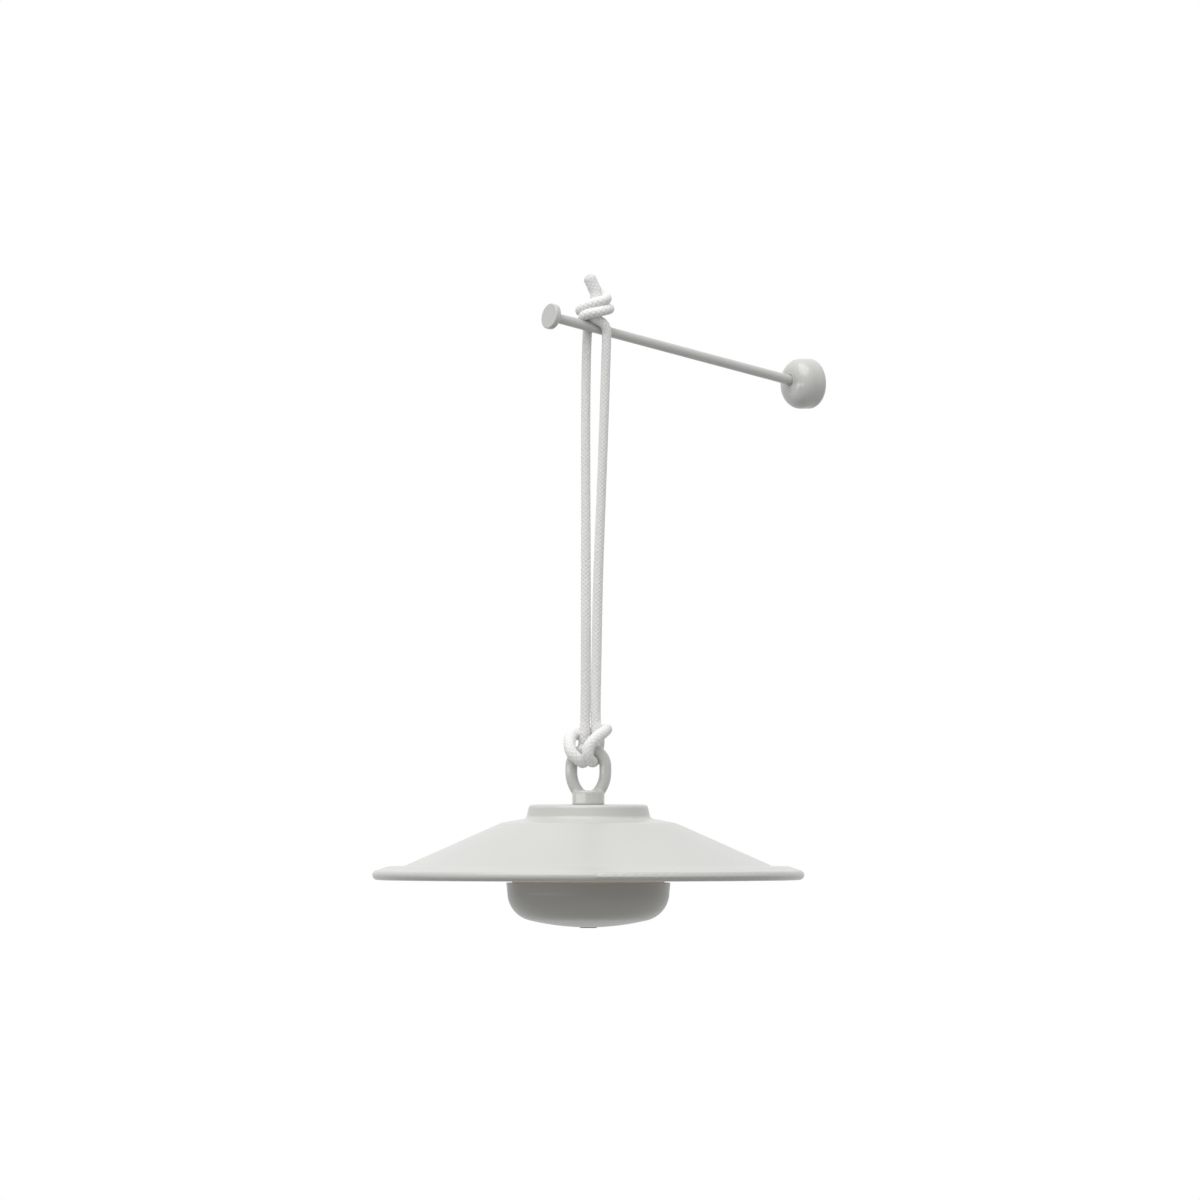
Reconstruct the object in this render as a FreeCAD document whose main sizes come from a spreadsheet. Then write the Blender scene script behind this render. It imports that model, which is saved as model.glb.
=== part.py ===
import FreeCAD, Part
import math
import os
import re

import Sketcher
from FreeCAD import Placement, Rotation, Vector

# A rechargeable garden lamp that hangs by a doubled rope from a wall arm.
# The origin is the centre of the wall base's back face: +Y points into the wall, +Z is up.
# The lamp's own pieces are drawn in the lamp's frame, with 0 at the lowest point of the light unit,
# and are then hung below the arm, turned so that the eye's opening faces the lamp's front.

# Driving sizes, in millimetres and degrees
SIZES = {
    # wall base: a turned drum with a threaded hole in its back for the wall's stud
    "base_diameter": 35.0,
    "base_depth": 21.5,
    "base_front_round": 9.5,
    "base_back_round": 5.5,
    "stud_hole_diameter": 5.0,
    "stud_hole_depth": 7.5,
    # arm: a round rod that rises towards its tip, and the disc that stops the rope there
    "rod_diameter": 7.0,
    "rod_tilt": 12.24,
    "rod_root": 9.75,
    "mouth_gap": 0.4,
    "mouth_depth": 1.5,
    "arm_length": 222.3,
    "stop_diameter": 18.0,
    "stop_thickness": 4.2,
    "stop_round": 0.8,
    "spigot_diameter": 4.0,
    "spigot_length": 2.6,
    "grub_diameter": 4.0,
    "grub_length": 6.0,
    "grub_place": 5.0,
    # where the lamp hangs
    "lamp_reach": 193.3,
    "lamp_turn": 54.6,
    "lamp_drop": 377.5,
    # rope
    "rope_diameter": 6.4,
    # hanging eye: a long ring on a neck, with a threaded stud below
    "eye_bar_diameter": 8.4,
    "eye_width": 23.6,
    "eye_straight": 8.2,
    "eye_flank_radius": 22.0,
    "eye_foot_radius": 9.0,
    "eye_centre_rise": 22.4,
    "neck_diameter": 22.4,
    "neck_height": 9.0,
    "neck_round": 1.0,
    "eye_stud_diameter": 8.0,
    "eye_stud_length": 22.0,
    "crown_seal_thickness": 0.8,
    "crown_seal_inset": 2.4,
    "crown_seal_room": 0.2,
    # shade: a spun hat with a collar, a cone, a flat brim and a rolled lip
    "shade_diameter": 300.0,
    "shade_wall": 1.8,
    "crown_wall": 3.0,
    "rim_height": 32.9,
    "lip_height": 9.4,
    "lip_width": 9.4,
    "lip_edge_height": 7.0,
    "lip_crest_inset": 10.5,
    "brim_width": 21.4,
    "cone_rise": 30.3,
    "shoulder_radius": 60.5,
    "ledge_rise": 3.1,
    "collar_foot_radius": 43.2,
    "collar_top_radius": 41.0,
    "collar_height": 9.6,
    "collar_round": 3.0,
    "foot_round": 3.0,
    "shoulder_round": 14.0,
    "cone_foot_round": 6.0,
    # pillar between the shade's crown and the light unit
    "pillar_diameter": 16.0,
    "pillar_bore": 11.0,
    "pillar_cap": 26.0,
    "pillar_flange_diameter": 29.0,
    "pillar_flange_thickness": 3.0,
    "pillar_screw_circle": 22.6,
    "crown_washer_diameter": 34.0,
    "crown_washer_thickness": 1.5,
    # light unit's bowl
    "bowl_diameter": 114.0,
    "bowl_taper": 0.7,
    "bowl_height": 31.0,
    "bowl_wall": 2.4,
    "bowl_corner": 20.0,
    "bowl_dome": 175.0,
    "bowl_rim_wall": 2.2,
    "ledge_width": 2.8,
    "ledge_depth": 1.5,
    "boss_diameter": 7.2,
    # deck: the aluminium plate that closes the bowl and carries the light
    "deck_thickness": 2.4,
    "deck_gap": 0.4,
    "deck_seal_thickness": 0.8,
    "boss_inset": 1.5,
    "lead_hole_diameter": 5.6,
    "led_board_inner": 31.0,
    "led_board_gap": 1.3,
    "board_thickness": 1.6,
    "led_length": 3.5,
    "led_width": 2.8,
    "led_height": 0.8,
    "led_inset": 7.0,
    "diffuser_inset": 4.0,
    "diffuser_wall": 1.8,
    "diffuser_edge": 3.6,
    "diffuser_rise": 12.0,
    "diffuser_round": 2.6,
    # screws, all of one size
    "screw_diameter": 3.0,
    "screw_head_diameter": 5.2,
    "screw_head_height": 1.8,
    "screw_length": 8.0,
    # electronics in the bowl
    "main_board_diameter": 76.0,
    "main_board_height": 8.0,
    "post_circle": 68.0,
    "post_diameter": 6.0,
    "tray_height": 11.0,
    "tray_plate": 1.4,
    "tray_wall": 1.5,
    "tray_side": 7.0,
    "ear_diameter": 9.0,
    "pack_length": 56.0,
    "pack_width": 44.0,
    "pack_thickness": 12.0,
    "pack_round": 2.0,
    "pack_gap": 0.3,
    "pad_length": 40.0,
    "pad_width": 30.0,
    "wire_diameter": 1.4,
    "wire_pitch": 2.6,
    "lead_inset": 6.0,
    # button and switch
    "button_diameter": 11.7,
    "button_gap": 0.25,
    "button_flange_diameter": 16.0,
    "button_flange_thickness": 1.3,
    "button_proud": 0.45,
    "button_round": 0.4,
    "button_travel": 0.8,
    "switch_side": 6.2,
    "switch_height": 3.0,
    "plunger_diameter": 3.5,
    "plunger_length": 2.2,
    # charging port, in the bowl's back
    "port_block_width": 22.0,
    "port_block_height": 12.0,
    "port_block_bottom": 14.0,
    "port_block_depth": 4.8,
    "port_inset": 4.0,
    "usb_board_width": 20.0,
    "usb_board_depth": 4.6,
    "usb_board_reach": 10.6,
    "usb_board_thickness": 1.2,
    "shelf_height": 17.0,
    "shelf_thickness": 1.6,
    "socket_width": 9.0,
    "socket_height": 3.2,
    "socket_depth": 7.5,
    "socket_wall": 0.35,
    "socket_floor": 1.4,
    "port_gap": 0.3,
    "flap_width": 17.6,
    "flap_height": 8.4,
    "flap_bottom": 16.5,
    "flap_nib": 1.2,
    "flap_gap": 0.1,
    # clearance of a shaft, stud or screw in its hole, on each side
    "fit_gap": 0.05,
    "screw_gap": 0.2,
}

# Counts, and where each ring of pieces starts, in degrees
LED_COUNT = 24
LED_START = 180.0 / LED_COUNT
DECK_SCREWS = 4
DECK_SCREW_START = 45.0
PILLAR_SCREWS = 3
PILLAR_SCREW_START = 90.0
BOARD_SCREWS = 3

doc = FreeCAD.newDocument("hanging_lamp")
sheet = doc.addObject("Spreadsheet::Sheet", "Sizes")
for row, (alias, number) in enumerate(SIZES.items(), start=1):
    sheet.set(f"A{row}", alias)
    sheet.set(f"B{row}", str(number))
    sheet.setAlias(f"B{row}", alias)
doc.recompute()

subparts = []


def bound(rule):
    """A size rule with each size's name made a reference to its cell."""
    return re.sub(r"[a-z][a-z_]*", lambda w: f"Sizes.{w[0]}" if w[0] in SIZES else w[0], rule)


def size(rule):
    """What a size rule comes to."""
    return float(sheet.evalExpression(bound(rule)))


def bind(thing, **rules):
    """Tie the properties of a document object to size rules."""
    for name, rule in rules.items():
        thing.setExpression(name, bound(rule))


def sub_part(thing, label, place=None):
    """Give a finished piece its name and its place in the whole object."""
    thing.Label = label
    if place is not None:
        thing.Placement = place
    subparts.append(thing)


def own_plane(body, role):
    return next(f for f in body.Origin.OriginFeatures if f.Role == role)


def outline(body, name, role, corners):
    """A closed outline whose corners are (across, up) rules; a corner with a radius and a turn starts an arc.

    The turn is 1 for an arc that runs anticlockwise to the next corner, and -1 for a clockwise one.
    """
    sketch = body.newObject("Sketcher::SketchObject", name)
    sketch.AttachmentSupport = [(own_plane(body, role), "")]
    sketch.MapMode = "FlatFace"
    spots = [Vector(size(c[0]), size(c[1]), 0) for c in corners]
    ends = []
    for i, corner in enumerate(corners):
        here, there = spots[i], spots[(i + 1) % len(spots)]
        if len(corner) == 2:
            sketch.addGeometry(Part.LineSegment(here, there))
            ends.append((1, 2))
            continue
        radius, turn = size(corner[2]), corner[3]
        chord = there - here
        reach = math.sqrt(max(radius**2 - chord.Length**2 / 4, 0))
        left = Vector(-chord.y, chord.x, 0).normalize()
        centre = (here + there) * 0.5 + left * (turn * reach)
        first, last = (here, there) if turn > 0 else (there, here)
        angles = [math.atan2(p.y - centre.y, p.x - centre.x) for p in (first, last)]
        circle = Part.Circle(centre, Vector(0, 0, 1), radius)
        sketch.addGeometry(Part.ArcOfCircle(circle, *angles))
        ends.append((1, 2) if turn > 0 else (2, 1))
    for i, corner in enumerate(corners):
        after = (i + 1) % len(corners)
        sketch.addConstraint(Sketcher.Constraint("Coincident", i, ends[i][1], after, ends[after][0]))
    for i, corner in enumerate(corners):
        held = [("DistanceX", corner[0], spots[i].x, -2), ("DistanceY", corner[1], spots[i].y, -1)]
        for kind, rule, value, axis in held:
            if rule == "0":
                sketch.addConstraint(Sketcher.Constraint("PointOnObject", i, ends[i][0], axis))
                continue
            at = sketch.addConstraint(Sketcher.Constraint(kind, -1, 1, i, ends[i][0], value))
            sketch.setExpression(f"Constraints[{at}]", bound(rule))
        if len(corner) > 2:
            at = sketch.addConstraint(Sketcher.Constraint("Radius", i, size(corner[2])))
            sketch.setExpression(f"Constraints[{at}]", bound(corner[2]))
    return sketch


def turned(name, corners, rounds=()):
    """A body turned about its own Z axis from an outline of (radius, height) corners.

    A round is (radius rule, corners to round), for edges left by those corners.
    """
    body = doc.addObject("PartDesign::Body", name)
    sketch = outline(body, name + "_outline", "XZ_Plane", corners)
    solid = body.newObject("PartDesign::Revolution", name + "_turned")
    solid.Profile = sketch
    solid.ReferenceAxis = (sketch, ["V_Axis"])
    solid.Angle = 360.0
    doc.recompute()
    for number, (radius, at) in enumerate(rounds, start=1):
        spots = [(size(c[0]), size(c[1])) for c in at]
        edges = [f"Edge{i}" for i, e in enumerate(body.Shape.Edges, start=1) if on_spot(e, spots)]
        rounded = body.newObject("PartDesign::Fillet", f"{name}_round_{number}")
        rounded.Base = (body.Group[-2], edges)
        bind(rounded, Radius=radius)
        doc.recompute()
    return body


def on_spot(edge, spots):
    """Whether an edge is a circle round the Z axis at one of the (radius, height) spots."""
    if not isinstance(edge.Curve, Part.Circle):
        return False
    circle = edge.Curve
    return any(abs(circle.Radius - r) < 0.01 and abs(circle.Center.z - z) < 0.01 for r, z in spots)


def cylinder(name, diameter, height, at=("0", "0", "0")):
    """A plain round bar that stands on a spot, drawn for a cut or a join."""
    bar = doc.addObject("Part::Cylinder", name)
    bind(bar, Radius=f"({diameter}) / 2", Height=height)
    bar.Placement = Placement(Vector(*[size(a) for a in at]), Rotation())
    return bar


def block(name, length, width, height, at):
    """A plain block centred on a spot in X, with its front low edge there in Y and Z."""
    box = doc.addObject("Part::Box", name)
    bind(box, Length=length, Width=width, Height=height)
    x, y, z = [size(a) for a in at]
    box.Placement = Placement(Vector(x - size(length) / 2, y, z), Rotation())
    return box


def joined(name, pieces):
    whole = doc.addObject("Part::MultiFuse", name)
    whole.Shapes = pieces
    return whole


def shared(name, first, second):
    both = doc.addObject("Part::Common", name)
    both.Base, both.Tool = first, second
    return both


def cut(name, base, tools):
    """A piece with one or more holes taken out of it."""
    for number, tool in enumerate(tools, start=1):
        less = doc.addObject("Part::Cut", f"{name}_cut_{number}")
        less.Base, less.Tool = base, tool
        base = less
    return base


def group(name, shape, places):
    """Several like pieces, as separate solids of one sub-part."""
    pieces = [shape.transformed(p.toMatrix(), copy=True) for p in places]
    several = doc.addObject("Part::Feature", name)
    several.Shape = Part.makeCompound(pieces)
    return several


def ring_of(count, circle, height, start=0.0):
    """Places evenly spaced on a circle, each turned to face outwards."""
    turns = [Rotation(Vector(0, 0, 1), start + 360.0 * i / count) for i in range(count)]
    return [Placement(t.multVec(Vector(size(circle) / 2, 0, size(height))), t) for t in turns]


def screw_holes(name, count, circle, diameter, bottom, depth, start=0.0):
    """Round holes for a ring of screws."""
    holes = []
    for i, place in enumerate(ring_of(count, circle, bottom, start)):
        hole = cylinder(f"{name}_{i}", diameter, depth)
        hole.Placement = place
        holes.append(hole)
    return joined(name, holes)


# Rules for heights and radii that several pieces share, in the lamp's frame
BRIM_TOP = "(rim_height + lip_height)"
SHOULDER = f"({BRIM_TOP} + cone_rise)"
LEDGE = f"({SHOULDER} + ledge_rise)"
CROWN = f"({LEDGE} + collar_height)"
CROWN_UNDER = f"({CROWN} - crown_wall)"
PILLAR_TOP = f"({CROWN_UNDER} - crown_washer_thickness)"
NECK_BOTTOM = f"({CROWN} + crown_seal_thickness)"
CROWN_SEAL_EDGE = "(neck_diameter / 2 - crown_seal_inset)"
EYE_CENTRE = f"({CROWN} + eye_centre_rise)"
EYE_TOP_BAR = f"({EYE_CENTRE} + eye_straight / 2 + eye_width / 2)"
DECK_TOP = "bowl_height"
DECK_UNDER = "(bowl_height - deck_thickness)"
BOWL_LEDGE = f"({DECK_UNDER} - deck_seal_thickness)"
CONE_FOOT = "(shade_diameter / 2 - brim_width)"
BOWL_MOUTH = "(bowl_diameter / 2 - bowl_rim_wall)"
BOWL_FOOT = "(bowl_diameter / 2 - bowl_taper)"
DECK_CIRCLE = f"(2 * ({BOWL_MOUTH} - ledge_width - boss_inset) - boss_diameter)"
LIGHT_EDGE = f"({DECK_CIRCLE} / 2 - screw_head_diameter / 2 - led_board_gap)"
PORT_FACE = "(bowl_diameter / 2 - port_inset)"
BUTTON_HOLE = "(button_diameter / 2 + button_gap)"
STUD_HOLE = "(eye_stud_diameter / 2 + screw_gap)"
SCREW_HOLE = "(screw_diameter + 2 * screw_gap)"
SCREW_SEAT = "(screw_diameter + 2 * fit_gap)"
BOARD_TOP = "(main_board_height + board_thickness)"
TRAY_TOP = "(tray_height + tray_plate)"

# Frames of the two halves: the arm's along its rod, the lamp's and the rope's below it
wall_place = Placement(Vector(), Rotation(Vector(1, 0, 0), 90))
rod_place = Placement(
    Vector(0, -size("rod_root"), 0), Rotation(Vector(1, 0, 0), 90 - size("rod_tilt"))
)
lamp_turn = Rotation(Vector(0, 0, 1), size("lamp_turn"))
lamp_place = Placement(Vector(0, -size("lamp_reach"), -size("lamp_drop")), lamp_turn)
hang_place = Placement(Vector(0, -size("lamp_reach"), 0), lamp_turn)


# Wall base: turned drum, bored at a slant for the rod, tapped at the back for the wall's stud
def make_wall_base():
    back, front = ("base_diameter / 2", "0"), ("base_diameter / 2", "base_depth")
    drum = turned(
        "drum",
        [("0", "0"), back, front, ("0", "base_depth")],
        [("base_front_round", [front]), ("base_back_round", [back])],
    )
    drum.Placement = wall_place
    rod_bore = cylinder("rod_bore", "rod_diameter + 2 * fit_gap", "base_depth")
    rod_bore.Placement = rod_place
    mouth = cylinder("bore_mouth", "rod_diameter + 2 * mouth_gap", "base_depth")
    mouth_foot = size("base_depth - rod_root - mouth_depth")
    mouth.Placement = rod_place * Placement(Vector(0, 0, mouth_foot), Rotation())
    stud_hole = cylinder("stud_hole", "stud_hole_diameter", "stud_hole_depth")
    stud_hole.Placement = wall_place
    grub_bore = cylinder("grub_bore", "grub_diameter + 2 * fit_gap", "base_diameter / 2")
    grub_bore.Placement = rod_place * grub_place("0")
    sub_part(cut("wall_base", drum, [rod_bore, mouth, stud_hole, grub_bore]), "wall_base")


def grub_place(out):
    """The grub screw's axis: square to the rod and level, part of the way along the rod's socket."""
    return Placement(Vector(-size(out), 0, size("grub_place")), Rotation(Vector(0, 1, 0), -90))


def make_arm():
    rod_end = "(arm_length - stop_thickness)"
    rod = turned(
        "rod",
        [
            ("0", "0"),
            ("rod_diameter / 2", "0"),
            ("rod_diameter / 2", rod_end),
            ("spigot_diameter / 2", rod_end),
            ("spigot_diameter / 2", f"{rod_end} + spigot_length"),
            ("0", f"{rod_end} + spigot_length"),
        ],
    )
    sub_part(rod, "arm_rod", rod_place)
    hole = "(spigot_diameter / 2 + fit_gap)"
    rim = ("stop_diameter / 2", "stop_thickness")
    inner_rim = ("stop_diameter / 2", "0")
    stop = turned(
        "stop",
        [
            (hole, "0"),
            inner_rim,
            rim,
            ("0", "stop_thickness"),
            ("0", "spigot_length + fit_gap"),
            (hole, "spigot_length + fit_gap"),
        ],
        [("stop_round", [rim, inner_rim])],
    )
    sub_part(stop, "end_stop", rod_place * Placement(Vector(0, 0, size(rod_end)), Rotation()))
    grub = cylinder("grub", "grub_diameter", "grub_length")
    sub_part(grub, "grub_screw", rod_place * grub_place("rod_diameter / 2 + fit_gap"))


# Rope: one length, doubled over the eye, its two falls either side of the rod and its ends knotted above.
# The points are (across, back, up) from the lamp's axis at the height of the wall base, chosen by eye.
ROPE_RUN_SHARE = 0.45
FRONT_KNOT = [
    (1.2, 2.2, 75.6),
    (3.2, 2.8, 69.6),
    (5.8, 3.4, 63.4),
    (6.7, 3.7, 56.6),
    (6.5, 2.8, 48.4),
    (8.3, 0.6, 44.6),
    (11.3, -0.4, 40.2),
]
BACK_KNOT = [
    (2.4, 10.2, 70.2),
    (3.8, 11.4, 65.2),
    (9.8, 12.0, 60.8),
    (14.8, 3.6, 59.6),
    (10.4, -4.6, 58.8),
    (1.6, -4.6, 56.4),
    (-4.6, 2.8, 54.0),
    (0.2, 12.2, 52.8),
    (10.6, 12.2, 52.6),
    (15.8, 3.4, 52.2),
    (10.8, -6.2, 50.8),
    (0.6, -7.2, 48.8),
    (-5.2, -0.2, 48.0),
    (-4.4, 7.8, 45.8),
    (-1.2, 9.0, 40.8),
]
FRONT_FALL = [
    (12.5, 0.3, 36.6),
    (12.6, 0.7, 30.0),
    (10.9, 1.4, -25.0),
    (8.8, 3.2, -81.0),
    (6.4, 5.2, -136.0),
    (5.6, 7.2, -192.0),
]
BACK_FALL = [(-0.9, 7.1, 36.0)]
FALL_END = -222.0
# The hitch, from the back fall round the eye and up to the front fall: its heights are from the eye's top bar
HITCH = [
    (-2.3, 8.5, 17.0),
    (-3.6, 9.7, -4.6),
    (-3.1, -0.2, -11.2),
    (-5.7, -9.4, -10.0),
    (-12.6, -9.6, -2.6),
    (-13.8, -3.2, 6.0),
    (-12.0, 6.6, 11.0),
    (-7.2, 15.4, 13.0),
    (2.0, 19.0, 13.4),
    (11.0, 16.8, 14.0),
    (15.0, 8.4, 14.6),
    (12.6, -1.0, 13.6),
    (6.2, -7.2, 9.6),
    (1.0, -11.2, 3.4),
    (0.7, -10.6, -6.2),
    (3.7, 0.0, -11.2),
    (4.1, 9.8, -6.0),
    (7.4, 9.6, 4.4),
    (6.8, 8.5, 15.0),
]


def rope_path(points):
    """Straight runs joined by tangent arcs, each as large as its two runs allow, and the arcs' radii."""
    edges, radii, at = [], [], points[0]
    for before, corner, after in zip(points, points[1:], points[2:]):
        back, on = before - corner, after - corner
        trim = ROPE_RUN_SHARE * min(back.Length, on.Length)
        back, on = back.normalize(), on.normalize()
        half_turn = (math.pi - back.getAngle(on)) / 2
        radius = trim / math.tan(half_turn)
        middle = corner + (back + on).normalize() * (radius / math.cos(half_turn) - radius)
        edges.append(Part.LineSegment(at, corner + back * trim).toShape())
        edges.append(Part.Arc(corner + back * trim, middle, corner + on * trim).toShape())
        radii.append(radius)
        at = corner + on * trim
    edges.append(Part.LineSegment(at, points[-1]).toShape())
    return Part.Wire(edges), radii


def rope_tube(name, points, diameter):
    """A round tube along a route, with its volume set against its section times its length."""
    path, radii = rope_path([Vector(*p) for p in points])
    start = path.Edges[0]
    circle = Part.Circle(start.Vertexes[0].Point, start.tangentAt(start.FirstParameter), diameter / 2)
    tube = path.makePipeShell([Part.Wire(circle.toShape())], True, False)
    expected = math.pi * diameter**2 / 4 * path.Length
    if radii:
        print(f"{name}: length {path.Length:.1f}, tightest {min(radii):.1f}, widest {max(radii):.1f}")
    print(f"{name}: volume over section times length {tube.Volume / expected:.4f}")
    return tube


def rope_node(label, routes):
    thick = size("rope_diameter")
    tubes = [rope_tube(f"{label} {i}", points, thick) for i, points in enumerate(routes, start=1)]
    node = doc.addObject("Part::Feature", label)
    node.Shape = Part.makeCompound(tubes) if len(tubes) > 1 else tubes[0]
    sub_part(node, label, hang_place)


def on_run(above, below, height):
    """The point at a height on the straight run between two points."""
    share = (above[2] - height) / (above[2] - below[2])
    return tuple(a + share * (b - a) for a, b in zip(above, below))


def make_rope():
    bar_height = size(f"{EYE_TOP_BAR} - lamp_drop")
    hitch = [(x, y, bar_height + up) for x, y, up in HITCH]
    back_end = on_run(BACK_FALL[-1], hitch[0], FALL_END)
    front_end = on_run(FRONT_FALL[-1], hitch[-1], FALL_END)
    rope_node("rope_knot", [FRONT_KNOT, BACK_KNOT])
    rope_node("front_fall", [[*FRONT_FALL, front_end]])
    rope_node("back_fall", [[*BACK_FALL, back_end]])
    rope_node("rope_hitch", [[back_end, *hitch, front_end]])


# Hanging eye: a bent oval bar on a turned neck, with a stud that screws down into the pillar
def eye_loop():
    """The bar's middle line: a round top, short straight sides, and flanks that close in on a small foot."""
    half, end = size("eye_straight") / 2, size("eye_width") / 2
    flank, foot = size("eye_flank_radius"), size("eye_foot_radius")
    inset = flank - end
    foot_drop = math.sqrt((flank - foot) ** 2 - inset**2)
    meeting_angle = math.atan2(foot_drop, inset)

    def on_flank(side, angle):
        return Vector(side * (flank * math.cos(angle) - inset), 0, -flank * math.sin(angle))

    tops = [Vector(side * end, 0, half) for side in (-1, 1)]
    sides = [Vector(side * end, 0, 0) for side in (-1, 1)]
    middles = [on_flank(side, meeting_angle / 2) for side in (-1, 1)]
    feet = [on_flank(side, meeting_angle) for side in (-1, 1)]
    return Part.Wire(
        [
            Part.LineSegment(sides[0], tops[0]).toShape(),
            Part.Arc(tops[0], Vector(0, 0, half + end), tops[1]).toShape(),
            Part.LineSegment(tops[1], sides[1]).toShape(),
            Part.Arc(sides[1], middles[1], feet[1]).toShape(),
            Part.Arc(feet[1], Vector(0, 0, -foot_drop - foot), feet[0]).toShape(),
            Part.Arc(feet[0], middles[0], sides[0]).toShape(),
        ]
    )


def make_eye():
    loop = eye_loop()
    section = Part.Circle(loop.Vertexes[0].Point, Vector(0, 0, 1), size("eye_bar_diameter") / 2)
    bar = doc.addObject("Part::Feature", "eye_bar")
    bar.Shape = loop.makePipeShell([Part.Wire(section.toShape())], True, False)
    bar.Placement = Placement(Vector(0, 0, size(EYE_CENTRE)), Rotation())
    neck_top = ("neck_diameter / 2", f"{NECK_BOTTOM} + neck_height")
    stud, recess = "eye_stud_diameter / 2", f"({CROWN_SEAL_EDGE} + crown_seal_room)"
    neck = turned(
        "eye_neck",
        [
            ("0", f"{NECK_BOTTOM} - eye_stud_length"),
            (stud, f"{NECK_BOTTOM} - eye_stud_length"),
            (stud, NECK_BOTTOM),
            (recess, NECK_BOTTOM),
            (recess, CROWN),
            ("neck_diameter / 2", CROWN),
            neck_top,
            ("0", neck_top[1]),
        ],
        [("neck_round", [neck_top])],
    )
    sub_part(joined("eye", [bar, neck]), "hanging_eye", lamp_place)


def washer(name, inner, outer, bottom, thickness):
    """A flat ring from its inner and outer radius, its underside's height and its thickness."""
    top = f"{bottom} + {thickness}"
    return turned(name, [(inner, bottom), (outer, bottom), (outer, top), (inner, top)])


def make_crown_rings():
    seal = washer("seal", STUD_HOLE, CROWN_SEAL_EDGE, CROWN, "crown_seal_thickness")
    sub_part(seal, "crown_seal", lamp_place)
    ring = washer(
        "spread_washer", STUD_HOLE, "crown_washer_diameter / 2", PILLAR_TOP, "crown_washer_thickness"
    )
    sub_part(ring, "crown_washer", lamp_place)


# Shade: spun from sheet, the wall offset square to the cone and the ledge, the lip rolled to a bead
def make_shade():
    cone = f"atan(cone_rise / ({CONE_FOOT} - shoulder_radius))"
    ledge = "atan(ledge_rise / (shoulder_radius - collar_foot_radius))"
    inside = "(collar_top_radius - shade_wall)"
    knee = f"shade_wall / cos(({cone} - {ledge}) / 2)"
    knee_radius = f"(shoulder_radius - {knee} * sin(({cone} + {ledge}) / 2))"
    knee_height = f"({SHOULDER} - {knee} * cos(({cone} + {ledge}) / 2))"
    lip = "lip_edge_height / 2"
    lip_centre = f"(shade_diameter / 2 - {lip})"
    lip_inner = "(shade_diameter / 2 - lip_width)"
    collar_top = ("collar_top_radius", CROWN)
    collar_foot = ("collar_foot_radius", LEDGE)
    shoulder = ("shoulder_radius", SHOULDER)
    cone_foot = (CONE_FOOT, BRIM_TOP)
    shade = turned(
        "hat",
        [
            (STUD_HOLE, CROWN_UNDER),
            (inside, CROWN_UNDER),
            (inside, f"{knee_height} + ({knee_radius} - {inside}) * tan({ledge})"),
            (knee_radius, knee_height),
            (f"{CONE_FOOT} - shade_wall * tan({cone} / 2)", f"{BRIM_TOP} - shade_wall"),
            (lip_inner, f"{BRIM_TOP} - shade_wall"),
            (lip_inner, "rim_height"),
            (lip_centre, "rim_height", lip, 1),
            ("shade_diameter / 2", f"rim_height + {lip}", lip, 1),
            (lip_centre, "rim_height + lip_edge_height"),
            ("shade_diameter / 2 - lip_crest_inset", BRIM_TOP),
            cone_foot,
            shoulder,
            collar_foot,
            collar_top,
            (STUD_HOLE, CROWN),
        ],
        [
            ("shoulder_round", [shoulder]),
            ("cone_foot_round", [cone_foot]),
            ("foot_round", [collar_foot]),
            ("collar_round", [collar_top]),
        ],
    )
    sub_part(shade, "shade", lamp_place)


def make_screw(name):
    """A pan-head screw that points down, with the underside of its head at 0."""
    head, shank = "screw_head_diameter / 2", "screw_diameter / 2"
    rim = (head, "screw_head_height")
    return turned(
        name,
        [
            ("0", "-screw_length"),
            (shank, "-screw_length"),
            (shank, "0"),
            (head, "0"),
            rim,
            ("0", "screw_head_height"),
        ],
        [("screw_head_height / 3", [rim])],
    )


# Pillar: turned aluminium, tapped at the top for the eye's stud, flanged and screwed to the deck below
def make_pillar(screw):
    foot_top = f"{DECK_TOP} + pillar_flange_thickness"
    stud_hole = "(eye_stud_diameter / 2 + fit_gap)"
    wall_top = f"{PILLAR_TOP} - pillar_cap"
    body = turned(
        "pillar_turned",
        [
            ("pillar_bore / 2", DECK_TOP),
            ("pillar_flange_diameter / 2", DECK_TOP),
            ("pillar_flange_diameter / 2", foot_top),
            ("pillar_diameter / 2", foot_top),
            ("pillar_diameter / 2", PILLAR_TOP),
            (stud_hole, PILLAR_TOP),
            (stud_hole, wall_top),
            ("pillar_bore / 2", wall_top),
        ],
    )
    holes = screw_holes(
        "pillar_holes",
        PILLAR_SCREWS,
        "pillar_screw_circle",
        SCREW_HOLE,
        DECK_TOP,
        "2 * pillar_flange_thickness",
        PILLAR_SCREW_START,
    )
    sub_part(cut("pillar", body, [holes]), "pillar", lamp_place)
    places = ring_of(PILLAR_SCREWS, "pillar_screw_circle", foot_top, PILLAR_SCREW_START)
    trimmed = trim_below(screw.Shape, -size("pillar_flange_thickness + deck_thickness"))
    sub_part(group("pillar_screw_set", trimmed, places), "pillar_screws", lamp_place)


def trim_below(shape, height):
    """The part of a screw above a height, for a shorter screw of the same thread."""
    width = 4 * size("screw_head_diameter")
    keep = Part.makeBox(width, width, width, Vector(-width / 2, -width / 2, height))
    return shape.common(keep)


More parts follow.
